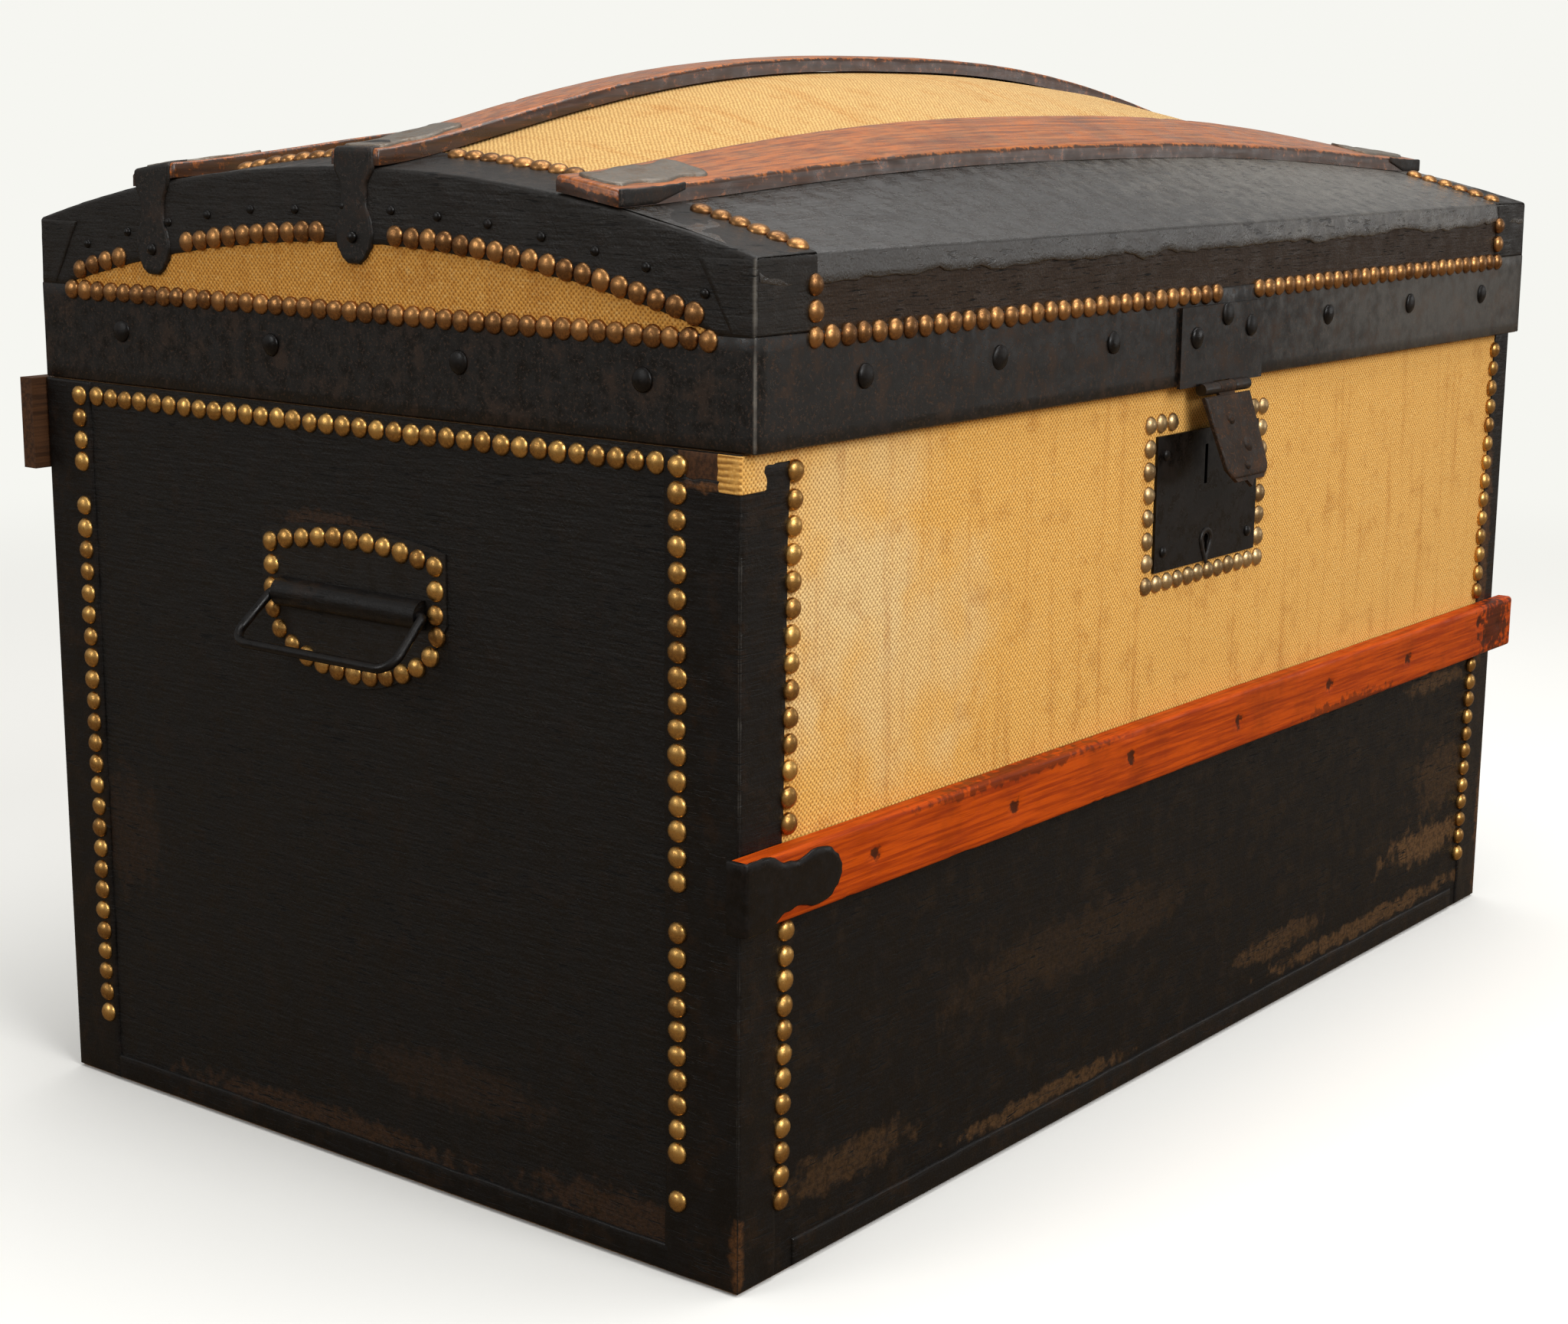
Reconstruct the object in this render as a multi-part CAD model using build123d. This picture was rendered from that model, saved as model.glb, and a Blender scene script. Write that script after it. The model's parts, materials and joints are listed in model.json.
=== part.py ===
from build123d import *
import math
import os

# Dome-topped travelling trunk. The front faces -Y, the length runs along X, and the origin is the
# middle of the bottom board's underside. Millimetres throughout.

# Chest, over its leather
CHEST_LENGTH = 837.0
CHEST_DEPTH = 493.0
SEAM_HEIGHT = 400.0
SEAM_GAP = 0.3
CHEST_BOARD = 10.0
BOTTOM_BOARD = 12.0
COVER = 1.2
CORNER_LEATHER = 1.3
SKIN_LIFT = 1.0
FRONT_CORNER_WRAP = 44.0
BACK_CORNER_WRAP = 38.0
BINDING_HEIGHT = 14.0

# Lid
LID_SIDE = 86.0
LID_END_INSET = 2.0
LID_FRONT_PROUD = 6.0
LID_BOARD = 10.0
LID_COVER = 1.2
LID_TRIM = 1.2
END_RISE = 33.0
BOW = 49.0
DOME_BOARD = 6.0
LAYER_GAP = 0.05
BAND_HEIGHT = 52.0
EDGE_LEATHER_WIDTH = 46.0
WINDOW_RISE = 30.0
WINDOW_HALF = 225.0
WINDOW_LIFT = 0.5

# Slats and battens
BATTEN_HEIGHT = 34.0
BATTEN_THICK = 10.0
BATTEN_LEVEL = 182.0
BATTEN_OVERHANG = 8.0
BACK_BATTEN_HEIGHT = 50.0
SLAT_THICK = 8.0
SLAT_END_GAP = 1.0
FRONT_SLAT_MIDDLE = -154.0
FRONT_SLAT_WIDTH = 39.0
MIDDLE_SLAT_MIDDLE = -2.0
MIDDLE_SLAT_WIDTH = 33.0
BACK_SLAT_MIDDLE = 150.0
BACK_SLAT_WIDTH = 33.0
END_CAP_LENGTH = 70.0
END_CAP_SHEET = 1.0

# Straps and clips on the slats' ends
STRAP_WIDTH = 27.0
STRAP_SHEET = 1.6
STRAP_DROP = 47.0
STRAP_REACH = 66.0
CLIP_LENGTH = 72.0
CLIP_WIDTH = 30.0

# Lock and hasp
LOCK_X = 3.0
LOCK_LEVEL = 335.0
LOCK_WIDTH = 115.0
LOCK_HEIGHT = 76.0
LOCK_SHEET = 1.8
CASE_WIDTH = 70.0
CASE_HEIGHT = 66.0
CASE_FIT = 0.2
SLOT_WIDTH = 3.2
SLOT_TOP = 364.0
SLOT_BOTTOM = 341.6
KEYHOLE_LEVEL = 310.0
KEYHOLE_ROUND = 2.6
KEYHOLE_STEM = 8.0
POCKET_DEPTH = 13.0
HASP_X = 0.0
HASP_PLATE_WIDTH = 93.0
HASP_PLATE_HEIGHT = 44.0
HASP_SHEET = 2.0
HASP_PIN_RADIUS = 1.6
HASP_KNUCKLE_RADIUS = 3.4
HASP_PIN_LEVEL = 397.0
HASP_WIDTH = 52.0
HASP_TIP_WIDTH = 46.0
HASP_LENGTH = 54.0
HASP_TILT = 20.0
STAPLE_TOP = 40.0
STAPLE_BOTTOM = 50.0
STAPLE_REACH = 9.0
STAPLE_THICK = 2.0
PIN_CLEARANCE = 0.06
KNUCKLE_GAP = 0.3

# Handles
HANDLE_Y = 5.0
HANDLE_LEVEL = 303.0
SOCKET_LENGTH = 104.0
SOCKET_RADIUS = 7.5
SOCKET_RISE = 8.5
BAIL_ROD = 2.5
BAIL_PIVOT_OUT = 4.6
BAIL_SPREAD = 3.0
BAIL_LENGTH = 34.0
BAIL_STUB = 16.0
BAIL_SIDE_GAP = 0.6
BAIL_TILT = 49.0
PATCH_SHEET = 1.0

# Hinges at the back
HINGE_SPACING = 500.0
HINGE_WIDTH = 60.0
HINGE_LEAF = 2.0
HINGE_LEAF_HEIGHT = 36.0
HINGE_KNUCKLE_RADIUS = 4.0
HINGE_PIN_RADIUS = 2.0

# Nails and rivets
NAIL_RADIUS = 5.2
NAIL_RISE = 3.2
NAIL_SEAT = 0.2
RIVET_RADIUS = 6.0
RIVET_RISE = 2.6
SMALL_RIVET_RADIUS = 3.0
SMALL_RIVET_RISE = 1.8
COLUMN_PITCH = 12.3
ROW_PITCH = 12.0
LID_PITCH = 10.9

# Planes worked out from the sizes above
END_X = CHEST_LENGTH / 2
FACE_Y = CHEST_DEPTH / 2
BOARD_END_X = END_X - CORNER_LEATHER - COVER
BOARD_FACE_Y = FACE_Y - CORNER_LEATHER - COVER
COVER_END_X = END_X - CORNER_LEATHER
COVER_FACE_Y = FACE_Y - CORNER_LEATHER
CHEST_TOP = SEAM_HEIGHT - SEAM_GAP
LID_END_X = END_X - LID_END_INSET
LID_FRONT_Y = -FACE_Y - LID_FRONT_PROUD
LID_BACK_Y = FACE_Y
LID_MID_Y = (LID_FRONT_Y + LID_BACK_Y) / 2
LID_HALF_Y = (LID_BACK_Y - LID_FRONT_Y) / 2
LID_TOP = SEAM_HEIGHT + LID_SIDE
LID_INNER = LID_TRIM + LID_COVER
BAND_TOP = SEAM_HEIGHT + BAND_HEIGHT
END_ARC_RADIUS = (LID_HALF_Y**2 + END_RISE**2) / (2 * END_RISE)
SLAT_LIFT = LID_TRIM + 2 * LAYER_GAP
HINGE_Y = FACE_Y + BATTEN_THICK + HINGE_LEAF + 2.0
HASP_PLATE_Y = LID_FRONT_Y - HASP_SHEET
HASP_PIN_Y = HASP_PLATE_Y - 1.6
KEEPER_WIDTH = HASP_WIDTH / 3


def save(node, solids):
    """Write one sub-part; a list of solids becomes a group."""
    shape = solids
    if isinstance(solids, list):
        shape = Compound(children=solids) if len(solids) > 1 else solids[0]
    export_step(shape, f"parts/{node}.step")


def block(x, y, z):
    """Box given by its low and high value along each axis."""
    size = (x[1] - x[0], y[1] - y[0], z[1] - z[0])
    middle = ((x[0] + x[1]) / 2, (y[0] + y[1]) / 2, (z[0] + z[1]) / 2)
    return Solid.make_box(*size).moved(Location([m - s / 2 for m, s in zip(middle, size)]))


def rod(start, end, radius):
    """Round bar between two points."""
    run = Vector(*end) - Vector(*start)
    return Solid.make_cylinder(radius, run.length, Plane(origin=start, z_dir=run))


def mirrored(solid):
    """The same solid at the other end of the trunk."""
    return solid.mirror(Plane.YZ)


def plate(edges, push):
    """Flat outline pushed to a solid along a vector."""
    return Solid.extrude(Face(Wire(edges)), Vector(*push))


def polygon(points):
    """Closed run of straight edges through the points."""
    loop = points + points[:1]
    return [Edge.make_line(a, b) for a, b in zip(loop, loop[1:])]


def end_arc(y):
    """Height of the lid's top edge on its end planes."""
    return LID_TOP - (END_ARC_RADIUS - END_RISE) + math.sqrt(END_ARC_RADIUS**2 - (y - LID_MID_Y) ** 2)


def dome(x, y):
    """Outer surface of the lid's canvas: the end arc plus a bow that dies out at all four edges."""
    along = min(abs(x) / LID_END_X, 1.0)
    across = min(abs(y - LID_MID_Y) / LID_HALF_Y, 1.0)
    swell = (1 - along**2.5) ** 1.5 * (1 - across**1.6) ** 1.5
    return end_arc(y) + BOW * swell


def dome_patch(x, y, lift, thick):
    """Piece of even thickness that follows the dome between two lengths and two depths."""
    columns = max(4, round((x[1] - x[0]) / 22.0))
    rows = max(4, round((y[1] - y[0]) / 14.0))
    grid = []
    for i in range(columns + 1):
        px = x[0] + (x[1] - x[0]) * i / columns
        depths = [y[0] + (y[1] - y[0]) * j / rows for j in range(rows + 1)]
        grid.append([Vector(px, py, dome(px, py) + lift) for py in depths])
    return Solid.extrude(Face.make_surface_from_array_of_points(grid, tol=0.01), Vector(0, 0, thick))


def domed_head(radius, rise):
    """Nail or rivet head: a ball's cap on the XY plane, pointing up."""
    ball = (radius**2 + rise**2) / (2 * rise)
    cap = Solid.make_sphere(ball, Plane((0, 0, rise - ball)), angle1=-90, angle2=90)
    return cap & block((-ball, ball), (-ball, ball), (0, ball))


NAIL = domed_head(NAIL_RADIUS, NAIL_RISE)
RIVET = domed_head(RIVET_RADIUS, RIVET_RISE)
SMALL_RIVET = domed_head(SMALL_RIVET_RADIUS, SMALL_RIVET_RISE)


def heads(head, points, normal):
    """One head on each point, all facing the same way."""
    turned = Plane(origin=(0, 0, 0), z_dir=normal)
    seated = [head.moved(turned.location) for _ in points]
    return [s.moved(Location(p)) for s, p in zip(seated, points)]


def spaced(start, end, pitch, missing=()):
    """Points from start to end at about the pitch, without those that have fallen out."""
    gap = Vector(*end) - Vector(*start)
    count = round(gap.length / pitch)
    points = [Vector(*start) + gap * (i / count) for i in range(count + 1)]
    return [tuple(p) for i, p in enumerate(points) if i not in missing]


def chest_boards():
    """Pine carcass: front and back boards between the end boards, bottom board under all four."""
    low = BOTTOM_BOARD
    save("bottom_board", block((-BOARD_END_X, BOARD_END_X), (-BOARD_FACE_Y, BOARD_FACE_Y), (0, low)))
    inner_x = BOARD_END_X - CHEST_BOARD
    inner_y = BOARD_FACE_Y - CHEST_BOARD
    front = block((-inner_x, inner_x), (-BOARD_FACE_Y, -inner_y), (low, CHEST_TOP))
    half = CASE_WIDTH / 2 + CASE_FIT
    tall = CASE_HEIGHT / 2 + CASE_FIT
    mortise = block(
        (LOCK_X - half, LOCK_X + half),
        (-BOARD_FACE_Y, -inner_y),
        (LOCK_LEVEL - tall, LOCK_LEVEL + tall),
    )
    save("front_board", front - mortise)
    save("back_board", block((-inner_x, inner_x), (inner_y, BOARD_FACE_Y), (low, CHEST_TOP)))
    end = block((-BOARD_END_X, -inner_x), (-BOARD_FACE_Y, BOARD_FACE_Y), (low, CHEST_TOP))
    save("left_end_board", end)
    save("right_end_board", mirrored(end))


def chest_covers():
    """Canvas and leather in one layer on the boards."""
    batten_mid = BATTEN_LEVEL + BATTEN_HEIGHT / 2
    front_y = (-COVER_FACE_Y, -BOARD_FACE_Y)
    canvas = block((-BOARD_END_X, BOARD_END_X), front_y, (batten_mid, CHEST_TOP))
    half = CASE_WIDTH / 2 + CASE_FIT
    tall = CASE_HEIGHT / 2 + CASE_FIT
    window = block((LOCK_X - half, LOCK_X + half), front_y, (LOCK_LEVEL - tall, LOCK_LEVEL + tall))
    save("front_canvas", canvas - window)
    save("front_lower_cover", block((-BOARD_END_X, BOARD_END_X), front_y, (SKIN_LIFT, batten_mid)))
    back = block((-BOARD_END_X, BOARD_END_X), (BOARD_FACE_Y, COVER_FACE_Y), (SKIN_LIFT, CHEST_TOP))
    save("back_cover", back)
    end = block((-COVER_END_X, -BOARD_END_X), (-COVER_FACE_Y, COVER_FACE_Y), (SKIN_LIFT, CHEST_TOP))
    save("left_end_cover", end)
    save("right_end_cover", mirrored(end))


def corner_leathers():
    """Leather folded round each upright edge, over the covers."""
    tall = (SKIN_LIFT, CHEST_TOP)
    folds = []
    for side, wrap in ((-1, FRONT_CORNER_WRAP), (1, BACK_CORNER_WRAP)):
        outer = side * FACE_Y
        inner = side * COVER_FACE_Y
        face = block((-END_X, -END_X + wrap), sorted((outer, inner)), tall)
        end = block((-END_X, -COVER_END_X), sorted((outer, outer - side * wrap)), tall)
        fold = face + end
        folds += [fold, mirrored(fold)]
    save("corner_leathers", folds)


def bottom_binding():
    """Narrow leather strip round the bottom, between the corner leathers."""
    tall = (SKIN_LIFT, SKIN_LIFT + BINDING_HEIGHT)
    front = block((-END_X + FRONT_CORNER_WRAP, END_X - FRONT_CORNER_WRAP), (-FACE_Y, -COVER_FACE_Y), tall)
    back = block((-END_X + BACK_CORNER_WRAP, END_X - BACK_CORNER_WRAP), (COVER_FACE_Y, FACE_Y), tall)
    end_y = (-FACE_Y + FRONT_CORNER_WRAP, FACE_Y - BACK_CORNER_WRAP)
    end = block((-END_X, -COVER_END_X), end_y, tall)
    save("bottom_binding", [front, back, end, mirrored(end)])


def battens():
    """Varnished battens, and the iron cap left on the front batten's left end."""
    reach = END_X + BATTEN_OVERHANG
    front = block(
        (-reach, reach),
        (-FACE_Y - BATTEN_THICK, -FACE_Y),
        (BATTEN_LEVEL, BATTEN_LEVEL + BATTEN_HEIGHT),
    )
    save("front_batten", front)
    back = block(
        (-reach, reach),
        (FACE_Y, FACE_Y + BATTEN_THICK),
        (CHEST_TOP - BACK_BATTEN_HEIGHT, CHEST_TOP),
    )
    save("back_batten", back)
    sheet = END_CAP_SHEET
    low = BATTEN_LEVEL - sheet
    high = BATTEN_LEVEL + BATTEN_HEIGHT + sheet
    y = (-FACE_Y - BATTEN_THICK - sheet, -FACE_Y)
    cap = block((-reach - sheet, -reach + END_CAP_LENGTH), y, (low, high))
    core = block((-reach, -reach + END_CAP_LENGTH), (y[0] + sheet, y[1]), (low + sheet, high - sheet))
    save("batten_end_cap", cap - core)


def lock():
    """Iron lock plate with its slot and keyhole, the case behind it, and four rivets."""
    y = (-COVER_FACE_Y - LOCK_SHEET, -COVER_FACE_Y)
    half = LOCK_WIDTH / 2
    tall = LOCK_HEIGHT / 2
    flat = block((LOCK_X - half, LOCK_X + half), y, (LOCK_LEVEL - tall, LOCK_LEVEL + tall))
    slot_x = (HASP_X - SLOT_WIDTH / 2, HASP_X + SLOT_WIDTH / 2)
    pocket_y = (y[0], y[0] + POCKET_DEPTH)
    slot = block(slot_x, pocket_y, (SLOT_BOTTOM, SLOT_TOP))
    stem = KEYHOLE_ROUND / 2
    keyhole = block((LOCK_X - stem, LOCK_X + stem), pocket_y, (KEYHOLE_LEVEL - KEYHOLE_STEM, KEYHOLE_LEVEL))
    keyhole += rod((LOCK_X, pocket_y[0], KEYHOLE_LEVEL), (LOCK_X, pocket_y[1], KEYHOLE_LEVEL), KEYHOLE_ROUND)
    save("lock_plate", flat - slot - keyhole)
    case = block(
        (LOCK_X - CASE_WIDTH / 2, LOCK_X + CASE_WIDTH / 2),
        (-COVER_FACE_Y, -BOARD_FACE_Y + CHEST_BOARD + 4.0),
        (LOCK_LEVEL - CASE_HEIGHT / 2, LOCK_LEVEL + CASE_HEIGHT / 2),
    )
    save("lock_case", case - slot - keyhole)
    inset = 9.0
    corners = [
        (LOCK_X + sx * (half - inset), y[0], LOCK_LEVEL + sz * (tall - inset - 2))
        for sx in (-1, 1)
        for sz in (-1, 1)
    ]
    save("lock_rivets", heads(SMALL_RIVET, corners, (0, -1, 0)))


def lock_ring():
    """Ring of nails on the canvas round the lock plate, open where the hasp comes down."""
    out = NAIL_RADIUS + 1.4
    half = LOCK_WIDTH / 2 + out
    tall = LOCK_HEIGHT / 2 + out
    level = -COVER_FACE_Y
    low = LOCK_LEVEL - tall
    high = LOCK_LEVEL + tall
    left = LOCK_X - half
    right = LOCK_X + half
    bottom = spaced((left, level, low), (right, level, low), 12.0)
    sides = []
    for x in (left, right):
        sides += spaced((x, level, low), (x, level, high), 12.0)[1:]
    top = spaced((left, level, high), (right, level, high), 12.0)[1:-1]
    clear = HASP_WIDTH / 2 + NAIL_RADIUS
    top = [p for p in top if abs(p[0] - HASP_X) > clear]
    save("lock_ring_nails", heads(NAIL, bottom + sides + top, (0, -1, 0)))


def hasp():
    """Hasp plate with two knuckles, the pin, and the swinging hasp with its staple."""
    bottom = SEAM_HEIGHT - 1.0
    flat = block(
        (HASP_X - HASP_PLATE_WIDTH / 2, HASP_X + HASP_PLATE_WIDTH / 2),
        (HASP_PLATE_Y, LID_FRONT_Y),
        (bottom, bottom + HASP_PLATE_HEIGHT),
    )
    pin = (HASP_PIN_Y, HASP_PIN_LEVEL)
    bore = HASP_PIN_RADIUS + PIN_CLEARANCE
    knuckles = []
    for side in (-1, 1):
        near = HASP_X + side * (KEEPER_WIDTH / 2 + KNUCKLE_GAP)
        far = HASP_X + side * HASP_WIDTH / 2
        knuckle = rod((near, *pin), (far, *pin), HASP_KNUCKLE_RADIUS)
        flat += knuckle
        knuckles.append((near, far))
    notch = (HASP_X - KEEPER_WIDTH / 2 - KNUCKLE_GAP, HASP_X + KEEPER_WIDTH / 2 + KNUCKLE_GAP)
    flat -= rod((notch[0], *pin), (notch[1], *pin), HASP_KNUCKLE_RADIUS + 2 * KNUCKLE_GAP)
    ends = (knuckles[0][1] - 1, knuckles[1][1] + 1)
    flat -= rod((ends[0], *pin), (ends[1], *pin), HASP_PIN_RADIUS)
    save("hasp_plate", flat)
    save("hasp_pin", rod((knuckles[0][1], *pin), (knuckles[1][1], *pin), HASP_PIN_RADIUS))

    half = HASP_SHEET / 2
    start = HASP_KNUCKLE_RADIUS + 1.2
    tip = HASP_TIP_WIDTH / 2
    top = HASP_WIDTH / 2
    round_off = 8.0
    nib = 4.0
    outline = [
        (-top, -start),
        (-tip, -HASP_LENGTH + round_off),
        (-tip + round_off, -HASP_LENGTH),
        (-nib, -HASP_LENGTH),
        (0, -HASP_LENGTH - nib),
        (nib, -HASP_LENGTH),
        (tip - round_off, -HASP_LENGTH),
        (tip, -HASP_LENGTH + round_off),
        (top, -start),
    ]
    tongue = plate(polygon([(x, -half, z) for x, z in outline]), (0, 2 * half, 0))
    neck = block((-KEEPER_WIDTH / 2, KEEPER_WIDTH / 2), (-half, half), (-start, 0))
    barrel = rod((-KEEPER_WIDTH / 2, 0, 0), (KEEPER_WIDTH / 2, 0, 0), HASP_KNUCKLE_RADIUS)
    staple_depth = (0, half + STAPLE_REACH)
    staple = block((-STAPLE_THICK / 2, STAPLE_THICK / 2), staple_depth, (-STAPLE_BOTTOM, -STAPLE_TOP))
    swing = tongue + neck + barrel + staple
    swing -= rod((-KEEPER_WIDTH, 0, 0), (KEEPER_WIDTH, 0, 0), bore)
    swing = swing.rotate(Axis.X, -HASP_TILT).moved(Location((HASP_X, *pin)))
    save("hasp", swing)


def patch_outline(grow):
    """D-shaped outline of a handle's leather patch: arched top, round bottom."""
    half = 59.5 + grow
    shoulder = HANDLE_LEVEL + 25.0 + grow
    waist = HANDLE_LEVEL - 4.0
    crown = HANDLE_LEVEL + 32.0 + grow
    foot = HANDLE_LEVEL - 37.0 - grow
    return half, shoulder, waist, crown, foot


def ring_points(x):
    """Nail places round a handle's patch on the end plane x."""
    half, shoulder, waist, crown, foot = patch_outline(0.0)
    count = 11
    points = []
    for i in range(count):
        t = -1 + 2 * i / (count - 1)
        points.append((x, HANDLE_Y + half * t, crown - (crown - shoulder) * t * t))
    for side in (-1, 1):
        points += [(x, HANDLE_Y + side * half, shoulder - 12.0 * (i + 1)) for i in range(2)]
    start = waist - 6.0
    turns = 12
    steps = 600
    run = []
    for i in range(steps + 1):
        a = math.pi * i / steps
        run.append(Vector(x, HANDLE_Y + half * math.cos(a), start - (start - foot) * math.sin(a)))
    gone = [0.0]
    for a, b in zip(run, run[1:]):
        gone.append(gone[-1] + (b - a).length)
    for i in range(turns + 1):
        want = gone[-1] * i / turns
        points.append(tuple(run[min(range(steps + 1), key=lambda k: abs(gone[k] - want))]))
    return points


def handles():
    """Patch, socket and bail at each end, and the nails round both patches."""
    half, shoulder, waist, crown, foot = patch_outline(7.0)
    outer = -COVER_END_X
    edges = [
        Edge.make_three_point_arc(
            (outer, HANDLE_Y - half, shoulder), (outer, HANDLE_Y, crown), (outer, HANDLE_Y + half, shoulder)
        ),
        Edge.make_line((outer, HANDLE_Y + half, shoulder), (outer, HANDLE_Y + half, waist)),
        Edge.make_three_point_arc(
            (outer, HANDLE_Y + half, waist), (outer, HANDLE_Y, foot), (outer, HANDLE_Y - half, waist)
        ),
        Edge.make_line((outer, HANDLE_Y - half, waist), (outer, HANDLE_Y - half, shoulder)),
    ]
    patch = plate(edges, (-PATCH_SHEET, 0, 0))
    seat = outer - PATCH_SHEET
    pivot = (seat - BAIL_PIVOT_OUT, HANDLE_LEVEL)
    reach = SOCKET_LENGTH / 2
    centre = seat + SOCKET_RADIUS - SOCKET_RISE
    low = HANDLE_Y - reach
    high = HANDLE_Y + reach
    socket = rod((centre, low, HANDLE_LEVEL), (centre, high, HANDLE_LEVEL), SOCKET_RADIUS)
    socket = socket & block((seat - 2 * SOCKET_RADIUS, seat), (low, high), (0, SEAM_HEIGHT))
    socket -= rod((pivot[0], low - 1, pivot[1]), (pivot[0], high + 1, pivot[1]), BAIL_ROD + PIN_CLEARANCE)

    arm = reach + BAIL_SIDE_GAP + BAIL_ROD
    tilt = math.radians(BAIL_TILT)
    down = (-math.sin(tilt), -math.cos(tilt))
    bend = 10.0
    path = []
    for along, out in (
        (arm - BAIL_SIDE_GAP - BAIL_ROD - BAIL_STUB, 0),
        (arm, 0),
        (arm + BAIL_SPREAD, BAIL_LENGTH),
        (-arm - BAIL_SPREAD, BAIL_LENGTH),
        (-arm, 0),
        (-arm + BAIL_SIDE_GAP + BAIL_ROD + BAIL_STUB, 0),
    ):
        path.append((pivot[0] + down[0] * out, HANDLE_Y + along, pivot[1] + down[1] * out))
    line = FilletPolyline(*path, radius=[BAIL_ROD + 0.1, bend, bend, BAIL_ROD + 0.1])
    ring = Face(Wire(Edge.make_circle(BAIL_ROD, Plane(origin=path[0], z_dir=(0, 1, 0)))))
    bail = sweep(ring, path=line.wire(), transition=Transition.ROUND)
    nails = heads(NAIL, ring_points(seat), (-1, 0, 0))
    for side, turn in (("left", lambda s: s), ("right", mirrored)):
        save(f"{side}_handle_patch", turn(patch))
        save(f"{side}_handle_socket", turn(socket))
        save(f"{side}_bail", turn(bail.solid()))
    save("handle_ring_nails", nails + [mirrored(n) for n in nails])


def chest_nails():
    """Columns down the corner leathers and rows along the top of both ends."""
    low = 39.0
    high = SEAM_HEIGHT - 8.0
    batten_top = BATTEN_LEVEL + BATTEN_HEIGHT + NAIL_RADIUS + 3.0
    batten_foot = BATTEN_LEVEL - NAIL_RADIUS - 4.0
    left_top = -END_X + 39.0
    left_foot = -END_X + 32.0
    right_top = END_X - 26.0
    right_foot = END_X - 36.0

    def at(level, foot, top):
        return foot + (top - foot) * (level - low) / (high - low)

    front = []
    for foot, top in ((left_foot, left_top), (right_foot, right_top)):
        runs = ((batten_top, high - 3.0), (low, batten_foot))
        for a, b in runs:
            start = (at(a, foot, top), -FACE_Y, a)
            front += spaced(start, (at(b, foot, top), -FACE_Y, b), COLUMN_PITCH)
    near = -FACE_Y + 37.0
    far = FACE_Y - 31.0
    missing_near = (1, 12)
    missing_far = (25,)
    ends = spaced((-END_X, near, low), (-END_X, near, high), COLUMN_PITCH, missing_near)
    ends += spaced((-END_X, far, low), (-END_X, far, high), COLUMN_PITCH, missing_far)
    inner = NAIL_RADIUS + 8.0
    rows = spaced((-COVER_END_X, near + inner, high), (-COVER_END_X, far - inner, high), ROW_PITCH)
    left = heads(NAIL, ends + rows, (-1, 0, 0))
    right = [mirrored(n) for n in left]
    back = []
    for x in (-END_X + 31.0, END_X - 31.0):
        top = CHEST_TOP - BACK_BATTEN_HEIGHT - NAIL_RADIUS - 3.0
        back += spaced((x, FACE_Y, low), (x, FACE_Y, top), COLUMN_PITCH)
    save("chest_nails", heads(NAIL, front, (0, -1, 0)) + left + right + heads(NAIL, back, (0, 1, 0)))


def end_face(x, half_low, half_high, low, drop):
    """Closed outline on an end plane: flat foot, upright sides, arched top lowered by drop."""
    a = (x, half_low, low)
    b = (x, half_low, end_arc(half_low) - drop)
    mid = (half_low + half_high) / 2
    c = (x, half_high, end_arc(half_high) - drop)
    d = (x, half_high, low)
    arc = Edge.make_three_point_arc(b, (x, mid, end_arc(mid) - drop), c)
    return [Edge.make_line(a, b), arc, Edge.make_line(c, d), Edge.make_line(d, a)]


def lid_boards():
    """Four lid boards and the thin domed board that they carry."""
    drop = LID_COVER + DOME_BOARD + 2 * LAYER_GAP
    outer_x = LID_END_X - LID_INNER
    front = LID_FRONT_Y + LID_INNER
    back = LID_BACK_Y - LID_INNER
    end = plate(end_face(-outer_x, front, back, SEAM_HEIGHT, drop), (LID_BOARD, 0, 0))
    save("lid_left_board", end)
    save("lid_right_board", mirrored(end))
    inner_x = outer_x - LID_BOARD
    top = dome(LID_END_X, front) - drop
    save("lid_front_board", block((-inner_x, inner_x), (front, front + LID_BOARD), (SEAM_HEIGHT, top)))
    save("lid_back_board", block((-inner_x, inner_x), (back - LID_BOARD, back), (SEAM_HEIGHT, top)))
    lift = -(LID_COVER + LAYER_GAP + DOME_BOARD)
    save("lid_dome_board", dome_patch((-outer_x, outer_x), (front, back), lift, DOME_BOARD))


def lid_covers():
    """Canvas and leather laid on the lid's boards."""
    front = LID_FRONT_Y + LID_TRIM
    back = LID_BACK_Y - LID_TRIM
    outer_x = LID_END_X - LID_TRIM
    window = plate(end_face(-outer_x, front, back, SEAM_HEIGHT, 0.0), (LID_COVER, 0, 0))
    save("lid_canvas_left", window)
    save("lid_canvas_right", mirrored(window))
    inner_x = outer_x - LID_COVER
    x = (-inner_x, inner_x)
    top = dome(LID_END_X, front) - LID_COVER - 2 * LAYER_GAP
    save("lid_front_strip", block(x, (front, front + LID_COVER), (SEAM_HEIGHT, top)))
    save("lid_back_strip", block(x, (back - LID_COVER, back), (SEAM_HEIGHT, top)))
    seams = (FRONT_SLAT_MIDDLE, BACK_SLAT_MIDDLE)
    save("dome_front_leather", dome_patch(x, (front, seams[0]), -LID_COVER, LID_COVER))
    save("dome_canvas", dome_patch(x, seams, -LID_COVER, LID_COVER))
    save("dome_back_leather", dome_patch(x, (seams[1], back), -LID_COVER, LID_COVER))


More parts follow.
